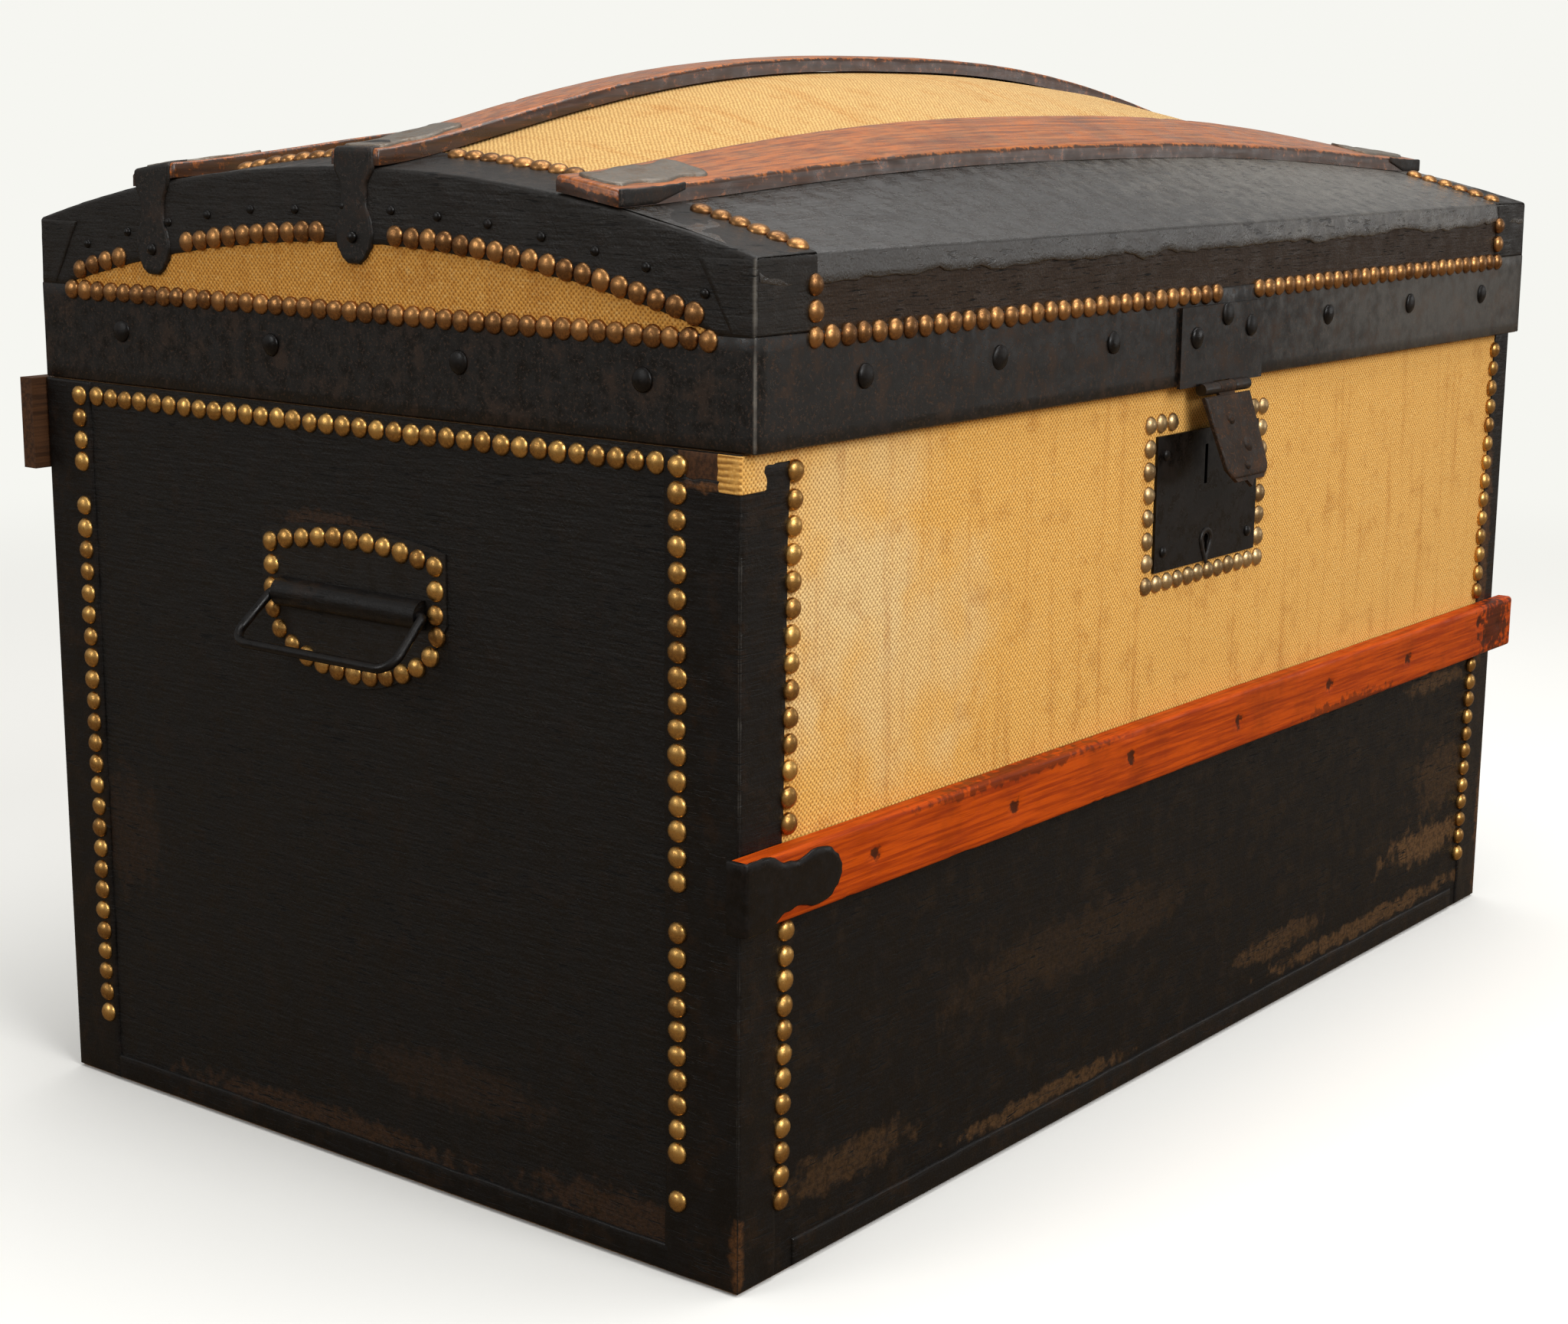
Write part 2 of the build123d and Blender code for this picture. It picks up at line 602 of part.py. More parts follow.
def lid_trim():
    """Iron band, end rims, folded corner leathers and the leather along the dome's ends."""
    x = LID_END_X
    face = (LID_FRONT_Y, LID_FRONT_Y + LID_TRIM)
    rear = (LID_BACK_Y - LID_TRIM, LID_BACK_Y)
    band = (SEAM_HEIGHT, BAND_TOP)
    inner = x - LID_TRIM
    save("lid_band_front", block((-inner, inner), face, band))
    save("lid_band_back", block((-inner, inner), rear, band))
    end = block((-x, -inner), (LID_FRONT_Y, LID_BACK_Y), band)
    save("lid_band_left", end)
    save("lid_band_right", mirrored(end))

    low = BAND_TOP
    outline = end_face(-x, LID_FRONT_Y, LID_BACK_Y, low, 0.0)
    rim = plate(outline, (LID_TRIM, 0, 0))
    y0 = LID_MID_Y
    left = (-x, y0 - WINDOW_HALF, low + WINDOW_LIFT)
    right = (-x, y0 + WINDOW_HALF, low + WINDOW_LIFT)
    peak = (-x, y0, low + WINDOW_LIFT + WINDOW_RISE)
    lens = plate([Edge.make_three_point_arc(left, peak, right), Edge.make_line(right, left)], (LID_TRIM, 0, 0))
    rim -= lens
    save("lid_rim_left", rim)
    save("lid_rim_right", mirrored(rim))

    wrap = (-inner, -x + EDGE_LEATHER_WIDTH)
    corners = []
    for y in (face, rear):
        top = dome(LID_END_X, y[0] if y is face else y[1]) - 2 * LAYER_GAP
        piece = block(wrap, y, (BAND_TOP, top))
        corners += [piece, mirrored(piece)]
    save("lid_corner_leathers", corners)
    strip = dome_patch((-x, -x + EDGE_LEATHER_WIDTH), (LID_FRONT_Y, LID_BACK_Y), LAYER_GAP, LID_TRIM)
    save("dome_edge_leathers", [strip, mirrored(strip)])


def slats():
    """Bowed slats along the dome, iron straps over the ends of two and clips on the third."""
    reach = LID_END_X - SLAT_END_GAP
    for name, middle, width in (
        ("front_slat", FRONT_SLAT_MIDDLE, FRONT_SLAT_WIDTH),
        ("middle_slat", MIDDLE_SLAT_MIDDLE, MIDDLE_SLAT_WIDTH),
        ("back_slat", BACK_SLAT_MIDDLE, BACK_SLAT_WIDTH),
    ):
        y = (middle - width / 2, middle + width / 2)
        save(name, dome_patch((-reach, reach), y, SLAT_LIFT, SLAT_THICK))
    straps = []
    top_lift = SLAT_LIFT + SLAT_THICK + LAYER_GAP
    half = STRAP_WIDTH / 2
    for middle in (MIDDLE_SLAT_MIDDLE, BACK_SLAT_MIDDLE):
        y = (middle - half, middle + half)
        leg_x = (-LID_END_X - STRAP_SHEET, -LID_END_X)
        crests = [dome(LID_END_X, edge) + top_lift + STRAP_SHEET / 2 for edge in y]
        foot = min(dome(LID_END_X, y[0]), dome(LID_END_X, y[1])) - STRAP_DROP
        side = [
            (leg_x[0], y[0], foot),
            (leg_x[0], y[1], foot),
            (leg_x[0], y[1], crests[1]),
            (leg_x[0], y[0], crests[0]),
        ]
        leg = plate(polygon(side), (STRAP_SHEET, 0, 0))
        top = dome_patch((leg_x[0], -LID_END_X + STRAP_REACH), y, top_lift, STRAP_SHEET)
        strap = leg + top
        straps += [strap, mirrored(strap)]
    save("slat_end_straps", straps)
    y = (FRONT_SLAT_MIDDLE - CLIP_WIDTH / 2, FRONT_SLAT_MIDDLE + CLIP_WIDTH / 2)
    clip = dome_patch((-LID_END_X + 4.0, -LID_END_X + 4.0 + CLIP_LENGTH), y, top_lift, STRAP_SHEET)
    save("front_slat_clips", [clip, mirrored(clip)])


def near_slat(y, clear):
    """True where a nail on the dome would stand in a slat."""
    for middle, width in (
        (FRONT_SLAT_MIDDLE, FRONT_SLAT_WIDTH),
        (MIDDLE_SLAT_MIDDLE, MIDDLE_SLAT_WIDTH),
        (BACK_SLAT_MIDDLE, BACK_SLAT_WIDTH),
    ):
        if abs(y - middle) < width / 2 + clear:
            return True
    return False


def lid_nails():
    """Rows along the band, arcs over the canvas windows, columns at the corners, rows on the dome."""
    level = BAND_TOP - 3.0
    y_low = LID_MID_Y - WINDOW_HALF + 2.0
    y_high = LID_MID_Y + WINDOW_HALF - 2.0
    lower = spaced((-LID_END_X, y_low, level), (-LID_END_X, y_high, level), LID_PITCH)
    upper = []
    for _, y, _ in spaced((0, y_low + 8.0, 0), (0, y_high - 8.0, 0), LID_PITCH):
        share = (y - LID_MID_Y) / WINDOW_HALF
        z = level + 8.5 + WINDOW_RISE * (1 - share**2)
        tabs = (MIDDLE_SLAT_MIDDLE, BACK_SLAT_MIDDLE)
        if all(abs(y - t) > STRAP_WIDTH / 2 + NAIL_RADIUS + 0.3 for t in tabs):
            upper.append((-LID_END_X, y, z))
    left = heads(NAIL, lower + upper, (-1, 0, 0))
    nails = left + [mirrored(n) for n in left]

    column_x = LID_END_X - 43.0
    hasp_clear = HASP_PLATE_WIDTH / 2 + NAIL_RADIUS
    for y, normal, gap in ((LID_FRONT_Y, (0, -1, 0), hasp_clear), (LID_BACK_Y, (0, 1, 0), 0.0)):
        row = spaced((-column_x, y, level), (column_x, y, level), COLUMN_PITCH)
        if gap:
            row = [p for p in row if abs(p[0] - 20.0) > 20.0]
        for side in (-1, 1):
            row += [(side * column_x, y, level + 12.0), (side * column_x, y, level + 23.5)]
        nails += heads(NAIL, row, normal)

    seat = SLAT_LIFT - LAYER_GAP
    y = LID_FRONT_Y + 8.0
    dome_x = LID_END_X - 40.0
    while y < LID_BACK_Y - 7.0:
        if not near_slat(y, NAIL_RADIUS + 0.5):
            slope_x = (dome(1 - dome_x, y) - dome(-1 - dome_x, y)) / 2
            slope_y = (dome(dome_x, y + 1) - dome(dome_x, y - 1)) / 2
            place = (-dome_x, y, dome(dome_x, y) + seat + NAIL_SEAT)
            head = heads(NAIL, [place], (-slope_x, -slope_y, 1))[0]
            nails += [head, mirrored(head)]
        y += LID_PITCH + 0.2
    save("lid_nails", nails)


def lid_rivets():
    """Large rivets along the band, three on the hasp plate, one at each strap's foot."""
    level = SEAM_HEIGHT + 29.0
    points = [(-LID_END_X, y, level) for y in (-187.5, -71.5, 61.5, 179.5)]
    ends = heads(RIVET, points, (-1, 0, 0))
    for middle in (MIDDLE_SLAT_MIDDLE, BACK_SLAT_MIDDLE):
        z = dome(LID_END_X, middle) - STRAP_DROP + STRAP_WIDTH / 2
        ends += heads(SMALL_RIVET, [(-LID_END_X - STRAP_SHEET, middle, z)], (-1, 0, 0))
    face = [(x, LID_FRONT_Y, level) for x in (-335.0, -223.0, -115.0, 131.0, 243.0, 351.0)]
    rear = [(x, LID_BACK_Y, level) for x in (-360.0, -150.0, 0.0, 150.0, 360.0)]
    holds = [
        (HASP_X - 30.0, HASP_PLATE_Y, 426.0),
        (HASP_X + 4.0, HASP_PLATE_Y, 437.0),
        (HASP_X + 32.0, HASP_PLATE_Y, 429.0),
    ]
    group = ends + [mirrored(r) for r in ends]
    group += heads(RIVET, face + holds, (0, -1, 0)) + heads(RIVET, rear, (0, 1, 0))
    save("lid_rivets", group)


def hinges():
    """Two cranked butt hinges: outer knuckles on the batten, middle knuckle on the lid's band."""
    chest_leaves = []
    lid_leaves = []
    pins = []
    bore = HINGE_PIN_RADIUS + PIN_CLEARANCE
    third = HINGE_WIDTH / 3
    batten_y = FACE_Y + BATTEN_THICK
    for x in (-HINGE_SPACING / 2, HINGE_SPACING / 2):
        low = x - HINGE_WIDTH / 2
        high = x + HINGE_WIDTH / 2
        leaf_top = SEAM_HEIGHT - 5.0
        leaf = block((low, high), (batten_y, batten_y + HINGE_LEAF), (leaf_top - HINGE_LEAF_HEIGHT, leaf_top))
        for a, b in ((low, low + third), (high - third, high)):
            leaf += block((a, b), (batten_y, batten_y + HINGE_LEAF), (SEAM_HEIGHT - 6.0, SEAM_HEIGHT))
            leaf += rod((a, HINGE_Y, SEAM_HEIGHT), (b, HINGE_Y, SEAM_HEIGHT), HINGE_KNUCKLE_RADIUS)
        leaf -= rod((low - 1, HINGE_Y, SEAM_HEIGHT), (high + 1, HINGE_Y, SEAM_HEIGHT), HINGE_PIN_RADIUS)
        chest_leaves.append(leaf)
        a = low + third + KNUCKLE_GAP
        b = high - third - KNUCKLE_GAP
        foot = SEAM_HEIGHT + HINGE_KNUCKLE_RADIUS + 1.5
        wing = block((low, high), (LID_BACK_Y, LID_BACK_Y + HINGE_LEAF), (foot, foot + HINGE_LEAF_HEIGHT))
        wing += block((a, b), (LID_BACK_Y, LID_BACK_Y + HINGE_LEAF), (SEAM_HEIGHT + 1.5, foot))
        wing += block((a, b), (LID_BACK_Y, HINGE_Y), (SEAM_HEIGHT + 1.5, SEAM_HEIGHT + 1.5 + HINGE_LEAF))
        wing += rod((a, HINGE_Y, SEAM_HEIGHT), (b, HINGE_Y, SEAM_HEIGHT), HINGE_KNUCKLE_RADIUS)
        wing -= rod((a - 1, HINGE_Y, SEAM_HEIGHT), (b + 1, HINGE_Y, SEAM_HEIGHT), bore)
        lid_leaves.append(wing)
        pins.append(rod((low, HINGE_Y, SEAM_HEIGHT), (high, HINGE_Y, SEAM_HEIGHT), HINGE_PIN_RADIUS))
    save("hinge_chest_leaves", chest_leaves)
    save("hinge_lid_leaves", lid_leaves)
    save("hinge_pins", pins)


os.makedirs("parts", exist_ok=True)
chest_boards()
chest_covers()
corner_leathers()
bottom_binding()
battens()
lock()
lock_ring()
hasp()
handles()
chest_nails()
lid_boards()
lid_covers()
lid_trim()
slats()
lid_nails()
lid_rivets()
hinges()
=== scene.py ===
import json
import math
import random

import bpy
import numpy as np
from mathutils import Matrix, Vector, noise


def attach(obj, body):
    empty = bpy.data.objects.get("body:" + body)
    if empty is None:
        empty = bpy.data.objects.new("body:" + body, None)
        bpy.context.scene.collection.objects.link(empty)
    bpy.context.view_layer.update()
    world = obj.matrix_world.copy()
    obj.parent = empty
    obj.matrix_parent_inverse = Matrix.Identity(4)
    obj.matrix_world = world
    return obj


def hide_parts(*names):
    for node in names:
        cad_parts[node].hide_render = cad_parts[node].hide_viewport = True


# Looks of a dome-topped travelling trunk, built round its CAD. Lengths are millimetres until a mesh is made.
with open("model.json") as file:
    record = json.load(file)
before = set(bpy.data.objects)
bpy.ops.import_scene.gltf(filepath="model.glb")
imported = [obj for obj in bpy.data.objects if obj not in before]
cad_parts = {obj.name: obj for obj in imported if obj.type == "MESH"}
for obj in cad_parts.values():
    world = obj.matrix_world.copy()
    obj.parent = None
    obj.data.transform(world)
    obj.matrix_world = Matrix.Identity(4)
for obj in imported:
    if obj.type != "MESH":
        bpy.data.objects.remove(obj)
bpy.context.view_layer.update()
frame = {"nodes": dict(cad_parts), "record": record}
nodes = frame["nodes"]
MM = 0.001
rng = random.Random(11)

END_X = 418.5
FACE_Y = 246.5
COVER_X = 417.2
COVER_Y = 245.2
SEAM = 400.0
LID_X = 416.5
LID_FRONT = -252.5
LID_BACK = 246.5
LID_MID = (LID_FRONT + LID_BACK) / 2
LID_HALF = (LID_BACK - LID_FRONT) / 2
BAND_TOP = 452.0
CHEST_EDGE = 399.4
TEAR_FOOT = 360.0
FRONT_SLAT = -154.0
MIDDLE_SLAT = -2.0
BACK_SLAT = 150.0
SLAT_REST = 1.3
LOCK_X = 3.0
LOCK_Z = 335.0
BATTEN_LOW = 182.0
BATTEN_HIGH = 216.0
BATTEN_END = 426.5
BATTEN_DEEP = 10.0
SIDE = {-1: "left", 1: "right"}
FACE = {-1: "front", 1: "back"}
ARC_R = (LID_HALF**2 + 33.0**2) / 66.0


def end_arc(y):
    """Height of the lid's top edge at its ends."""
    return 486.0 - (ARC_R - 33.0) + math.sqrt(ARC_R**2 - (y - LID_MID) ** 2)


def dome(x, y):
    """Height of the lid's canvas."""
    along = min(abs(x) / LID_X, 1.0)
    across = min(abs(y - LID_MID) / LID_HALF, 1.0)
    return end_arc(y) + 49.0 * (1 - along**2.5) ** 1.5 * (1 - across**1.6) ** 1.5


def unit(value):
    """The value kept between 0 and 1."""
    return min(1.0, max(0.0, value))


def wave(a, b=0.0, c=0.0):
    """Smooth seeded wander between about -1 and 1."""
    total = noise.noise(Vector((a, b, c))) + 0.5 * noise.noise(Vector((2.1 * a, 2.1 * b + 5.0, c)))
    return total + 0.25 * noise.noise(Vector((4.3 * a, 4.3 * b, c + 9.0)))


def srgb(r, g, b):
    """Linear colour from its 0 to 255 values."""
    parts = [c / 255 for c in (r, g, b)]
    return tuple(c / 12.92 if c <= 0.04045 else ((c + 0.055) / 1.055) ** 2.4 for c in parts) + (1.0,)


def feed(tree, value, socket):
    """Links another node's socket to this one, or sets its value."""
    if isinstance(value, bpy.types.NodeSocket):
        tree.links.new(value, socket)
    else:
        socket.default_value = value


def add_node(tree, kind, inputs=None, **props):
    """Adds a shader node with its settings and inputs."""
    made = tree.nodes.new(kind)
    for key, value in props.items():
        setattr(made, key, value)
    for key, value in (inputs or {}).items():
        feed(tree, value, made.inputs[key])
    return made


MATERIAL = {}


class Paint:
    """A procedural material in MATERIAL, whose coordinates are millimetres in the part's frame."""

    def __init__(self, name, rough=0.5, metal=0.0, specular=0.5, coat=0.0, coat_rough=0.1):
        MATERIAL[name] = bpy.data.materials.new(name)
        MATERIAL[name].use_nodes = True
        self.tree = MATERIAL[name].node_tree
        self.shader = self.tree.nodes["Principled BSDF"]
        self.put("Roughness", rough)
        self.put("Metallic", metal)
        self.put("Specular IOR Level", specular)
        self.put("Coat Weight", coat)
        self.put("Coat Roughness", coat_rough)
        place = self.node("ShaderNodeTexCoord")
        scaled = self.node(
            "ShaderNodeVectorMath", {0: place.outputs["Object"], "Scale": 1 / MM}, operation="SCALE"
        )
        self.where = scaled.outputs[0]
        parts = self.node("ShaderNodeSeparateXYZ", {0: self.where})
        self.axes = [parts.outputs[i] for i in range(3)]

    def node(self, kind, inputs=None, **props):
        return add_node(self.tree, kind, inputs, **props)

    def put(self, socket, value):
        feed(self.tree, value, self.shader.inputs[socket])

    def do(self, operation, a, b=0.0, c=0.0):
        return self.node("ShaderNodeMath", {0: a, 1: b, 2: c}, operation=operation).outputs[0]

    def steps(self, operation, a, b=(0.0, 0.0, 0.0)):
        return self.node("ShaderNodeVectorMath", {0: a, 1: b}, operation=operation)

    def stretch(self, x=1.0, y=1.0, z=1.0, shift=0.0):
        sizes = {"Vector": self.where, "Location": (shift, shift, shift), "Scale": (x, y, z)}
        return self.node("ShaderNodeMapping", sizes).outputs[0]

    def noise(self, scale, detail=3.0, rough=0.55, at=None):
        sizes = {"Vector": at or self.where, "Scale": scale, "Detail": detail, "Roughness": rough}
        return self.node("ShaderNodeTexNoise", sizes).outputs[0]

    def cells(self, scale):
        return self.node("ShaderNodeTexVoronoi", {"Vector": self.where, "Scale": scale}).outputs["Distance"]

    def span(self, value, low, high, to_low=0.0, to_high=1.0, smooth=True):
        made = self.node("ShaderNodeMapRange", {0: value, 1: low, 2: high, 3: to_low, 4: to_high})
        made.interpolation_type = "SMOOTHSTEP" if smooth else "LINEAR"
        made.clamp = True
        return made.outputs[0]

    def mix(self, share, a, b):
        return self.node("ShaderNodeMix", {0: share, 6: a, 7: b}, data_type="RGBA").outputs[2]

    def spots(self, places, ragged=0.5, scale=0.12, inner=0.55, outer=1.05):
        """Mask of ragged patches, each given by its middle, its reach along x, y and z and its strength."""
        rough = self.span(self.noise(scale, 4.0), 0.25, 0.75, -1.0, 1.0, False)
        mask = None
        for x, y, z, rx, ry, rz, strength in places:
            near = self.steps("SUBTRACT", self.where, (x, y, z)).outputs[0]
            near = self.steps("DIVIDE", near, (rx, ry, rz)).outputs[0]
            far = self.steps("LENGTH", near).outputs[1]
            one = self.span(self.do("MULTIPLY_ADD", rough, ragged, far), inner, outer, strength, 0.0)
            mask = one if mask is None else self.do("MAXIMUM", mask, one)
        return mask

    def relief(self, height, strength, distance=0.5):
        sizes = {"Height": height, "Strength": strength, "Distance": distance * MM}
        self.put("Normal", self.node("ShaderNodeBump", sizes).outputs[0])


def canvas(name, u, v, near, far, pale_patches=()):
    """Golden coarse canvas; near and far are its colours at the two ends of axis u."""
    p = Paint(name, rough=0.92, specular=0.06)
    a, b = p.axes[u], p.axes[v]
    drift = p.noise(0.05, 3.0)
    a = p.do("MULTIPLY_ADD", p.noise(0.11, 2.0), 2.0, a)
    b = p.do("MULTIPLY_ADD", p.noise(0.13, 2.0), 2.0, b)
    pitch = math.pi / 1.45
    warp = p.do("SINE", p.do("MULTIPLY", a, pitch))
    weft = p.do("SINE", p.do("MULTIPLY", b, pitch))
    weave = p.span(p.do("MULTIPLY", warp, weft), -1.0, 1.0, 0.0, 1.0, False)
    stretch = [0.0, 0.0, 0.0]
    stretch[u], stretch[v] = 1.0, 0.09
    streak = p.noise(0.08, 5.0, 0.62, at=p.stretch(*stretch))
    stretch[u], stretch[v] = 0.1, 1.0
    slub = p.noise(0.9, 3.0, 0.6, at=p.stretch(*stretch, shift=3.0))
    half = 400.0 if u == 0 else 240.0
    base = p.mix(p.span(a, -half, half), srgb(*near), srgb(*far))
    if pale_patches:
        # Paler patches laid over the canvas colour.
        base = p.mix(p.spots(pale_patches, 0.6, 0.03, 0.1, 1.3), base, srgb(240, 214, 160))
    stain = p.mix(p.span(streak, 0.5, 0.76, 0.0, 0.42), base, srgb(176, 104, 36))
    stain = p.mix(p.span(drift, 0.54, 0.74, 0.0, 0.28), stain, srgb(168, 98, 34))
    stain_and_glint_mottle = p.noise(0.55, 4.0, 0.75)
    stain = p.mix(p.span(stain_and_glint_mottle, 0.5, 0.7, 0.0, 0.4), stain, srgb(170, 100, 34))
    # Pale near-white mottle: painted highlights on the threads. The line above uses the same noise for brown
    # stains.
    stain = p.mix(p.span(stain_and_glint_mottle, 0.5, 0.3, 0.0, 0.5), stain, srgb(250, 212, 140))
    stain = p.mix(p.span(slub, 0.56, 0.74, 0.0, 0.35), stain, srgb(236, 196, 124))
    stain = p.mix(p.span(weave, 0.0, 0.6, 0.66, 0.0), stain, srgb(118, 66, 18))
    p.put("Base Color", stain)
    p.relief(p.do("MULTIPLY_ADD", slub, 0.6, weave), 0.8, 0.6)


def leather(name, colour, rough, wear=(), dust=0.2, crack=0.35, brown=(78, 52, 32), specular=0.2,
            along=(0.08, 0.08, 0.9), coat=0.0, painted_highlights=()):
    """Black dressed leather, cracked and mottled, brown where it is worn, with pale painted highlights and
    sheen where they are given.
    """
    p = Paint(name, specular=specular, coat=coat, coat_rough=0.25)
    grain = p.cells(0.55)
    fine = p.noise(0.9, 4.0, 0.65)
    large = p.noise(0.03, 4.0, 0.6)
    dash = p.noise(1.0, 3.0, 0.5, at=p.stretch(*along))
    split = p.do("MULTIPLY", p.span(dash, 0.6, 0.65), p.span(large, 0.4, 0.56))
    ridge = p.noise(0.5, 3.0, 0.5, at=p.stretch(*along, shift=7.0))
    tone = p.mix(p.span(fine, 0.4, 0.8, 0.0, 0.6), srgb(*colour), srgb(*[c * 1.8 + 5 for c in colour]))
    tinge = p.span(p.noise(0.06, 5.0, 0.7), 0.48, 0.68, 0.0, 0.35)
    tone = p.mix(tinge, tone, srgb(*[c * 0.42 for c in brown]))
    if dust:
        tone = p.mix(p.span(p.noise(0.5, 5.0, 0.8), 0.6, 0.74, 0.0, dust), tone, srgb(120, 108, 92))
    if wear:
        mask = p.spots(wear)
        mask = p.do("MULTIPLY", mask, p.span(p.noise(0.35, 4.0, 0.7), 0.35, 0.6, 0.35, 1.0))
        tone = p.mix(mask, tone, srgb(*brown))
    if painted_highlights:
        # Pale painted highlights and sheen, where light catches edges and glossy faces.
        tone = p.mix(p.spots(painted_highlights, 0.3, 0.12, 0.05, 1.15), tone, srgb(150, 144, 134))
    p.put("Base Color", p.mix(split, tone, srgb(8, 7, 6)))
    rough_map = p.span(p.noise(0.09, 5.0, 0.65), 0.3, 0.7, rough - 0.1, rough + 0.18)
    p.put("Roughness", p.do("ADD", rough_map, p.do("MULTIPLY", split, 0.25)))
    height = p.do("MULTIPLY_ADD", fine, 0.7, p.do("MULTIPLY", grain, 0.35))
    height = p.do("MULTIPLY_ADD", p.noise(0.06, 2.0), 2.0, height)
    height = p.do("MULTIPLY_ADD", ridge, 1.2, height)
    p.relief(p.do("SUBTRACT", height, p.do("MULTIPLY", split, 1.5)), crack, 0.6)


def iron(name, dark=(22, 20, 18), brown=(56, 36, 22), rough=0.36, rust=0.5, pits=0.2, metal=0.0, specular=0.6,
         painted_highlights=()):
    """Enamelled or rusty iron sheet with brown mottling."""
    p = Paint(name, metal=metal, specular=specular)
    blotch = p.noise(0.06, 6.0, 0.68)
    pit = p.span(p.noise(0.6, 5.0, 0.7), 0.52, 0.7)
    tone = p.mix(p.span(blotch, 0.5, 0.66, 0.0, rust), srgb(*dark), srgb(*brown))
    tone = p.mix(p.do("MULTIPLY", pit, rust), tone, srgb(*[c * 1.5 for c in brown]))
    if painted_highlights:
        # Pale painted highlights and glare, where light catches the iron.
        tone = p.mix(p.spots(painted_highlights, 0.3, 0.12, 0.05, 1.15), tone, srgb(150, 144, 134))
    p.put("Base Color", tone)
    p.put("Roughness", p.span(p.noise(0.12, 5.0, 0.65), 0.3, 0.7, rough - 0.08, rough + 0.22))
    height = p.do("MULTIPLY_ADD", p.noise(0.045, 2.0), 2.5, p.do("MULTIPLY", pit, -0.6))
    p.relief(height, pits, 0.6)


def wood(name, light, dark, rough=0.34, coat=0.35, worn=(), pores=0.3, greys=0.0, specular=0.5):
    """Varnished wood with its grain along the length."""
    p = Paint(name, specular=specular, coat=coat, coat_rough=0.22)
    along = p.noise(0.5, 5.0, 0.6, at=p.stretch(0.035, 1.0, 1.0))
    fine = p.noise(1.8, 4.0, 0.7, at=p.stretch(0.03, 1.0, 1.0, shift=4.0))
    blot = p.noise(0.018, 4.0, 0.6)
    tone = p.mix(p.span(along, 0.36, 0.66), srgb(*light), srgb(*dark))
    tone = p.mix(p.span(fine, 0.54, 0.75, 0.0, 0.45), tone, srgb(*[c * 0.35 for c in dark]))
    tone = p.mix(p.span(blot, 0.5, 0.75, 0.0, 0.45), tone, srgb(*[c * 0.6 for c in dark]))
    if greys:
        tone = p.mix(p.span(p.noise(0.07, 5.0, 0.7), 0.4, 0.65, 0.0, greys), tone, srgb(132, 104, 72))
    if worn:
        tone = p.mix(p.spots(worn, 0.7, 0.2), tone, srgb(46, 22, 10))
    if greys:
        # Painted shade down the slat's sides, where they meet the canvas, broken up by noise.
        side_shade = p.node("ShaderNodeAttribute", attribute_name="side_shade").outputs["Fac"]
        side_shade = p.do("MULTIPLY_ADD", p.span(p.noise(0.2, 4.0, 0.7), 0.3, 0.7, -0.5, 0.5), 0.7, side_shade)
        tone = p.mix(p.span(side_shade, 0.45, 0.85, 0.0, 0.9), tone, srgb(26, 19, 13))
    p.put("Base Color", tone)
    p.put("Roughness", p.span(p.noise(0.1, 4.0), 0.3, 0.7, rough - 0.08, rough + 0.16))
    p.relief(p.do("MULTIPLY_ADD", along, 0.8, p.do("MULTIPLY", fine, -0.6)), pores, 0.4)


def brass(name, bright, dark, rough=0.3):
    """Aged brass nail heads; the attribute tint changes from nail to nail."""
    p = Paint(name, metal=1.0, specular=0.5)
    tint = p.node("ShaderNodeAttribute", attribute_name="tint").outputs["Fac"]
    spotty = p.noise(0.7, 4.0, 0.7)
    dull = p.span(p.do("ADD", spotty, p.do("MULTIPLY", tint, 0.3)), 0.4, 0.95)
    tone = p.mix(dull, srgb(*bright), srgb(*dark))
    p.put("Base Color", tone)
    p.put("Roughness", p.span(spotty, 0.3, 0.75, rough - 0.08, rough + 0.25))
    p.relief(p.noise(0.35, 3.0, 0.5), 0.25, 0.4)


# Worn places, painted highlights and sheen, and paler canvas patches: middle x, y, z, reach along x, y, z,
# strength.
end_wear = [
    (-418, -190, 22, 30, 90, 14, 0.45),
    (-418, 40, 18, 30, 120, 10, 0.5),
    (-418, -60, 62, 30, 70, 16, 0.22),
    (-418, 20, 342, 30, 44, 6, 0.45),
    (-418, 190, 150, 30, 30, 40, 0.2),
    (-418, 238, 60, 30, 8, 70, 0.5),
]
front_wear = [
    (330, -246, 58, 70, 40, 14, 0.75),
    (352, -246, 100, 50, 40, 30, 0.25),
    (120, -246, 40, 60, 40, 10, 0.4),
    (-120, -246, 100, 140, 40, 20, 0.12),
    (-330, -246, 40, 60, 40, 12, 0.3),
    (260, -246, 22, 160, 40, 7, 0.6),
    (-150, -246, 20, 90, 40, 6, 0.5),
    (330, -246, 170, 50, 40, 7, 0.5),
]
dents = [(-326, 199), (-205, 197), (-88, 201), (34, 198), (150, 200), (262, 198)]
dents += [(372, 205), (384, 193), (404, 200)]
batten_wear = [(x, -256.5, z, 4.4, 9.0, 4.4, 0.9) for x, z in dents] + [
    (398, -256, 199, 26, 20, 30, 0.85),
    (180, -256, 184, 60, 20, 6, 0.6),
    (-200, -256, 214, 90, 20, 4, 0.6),
]
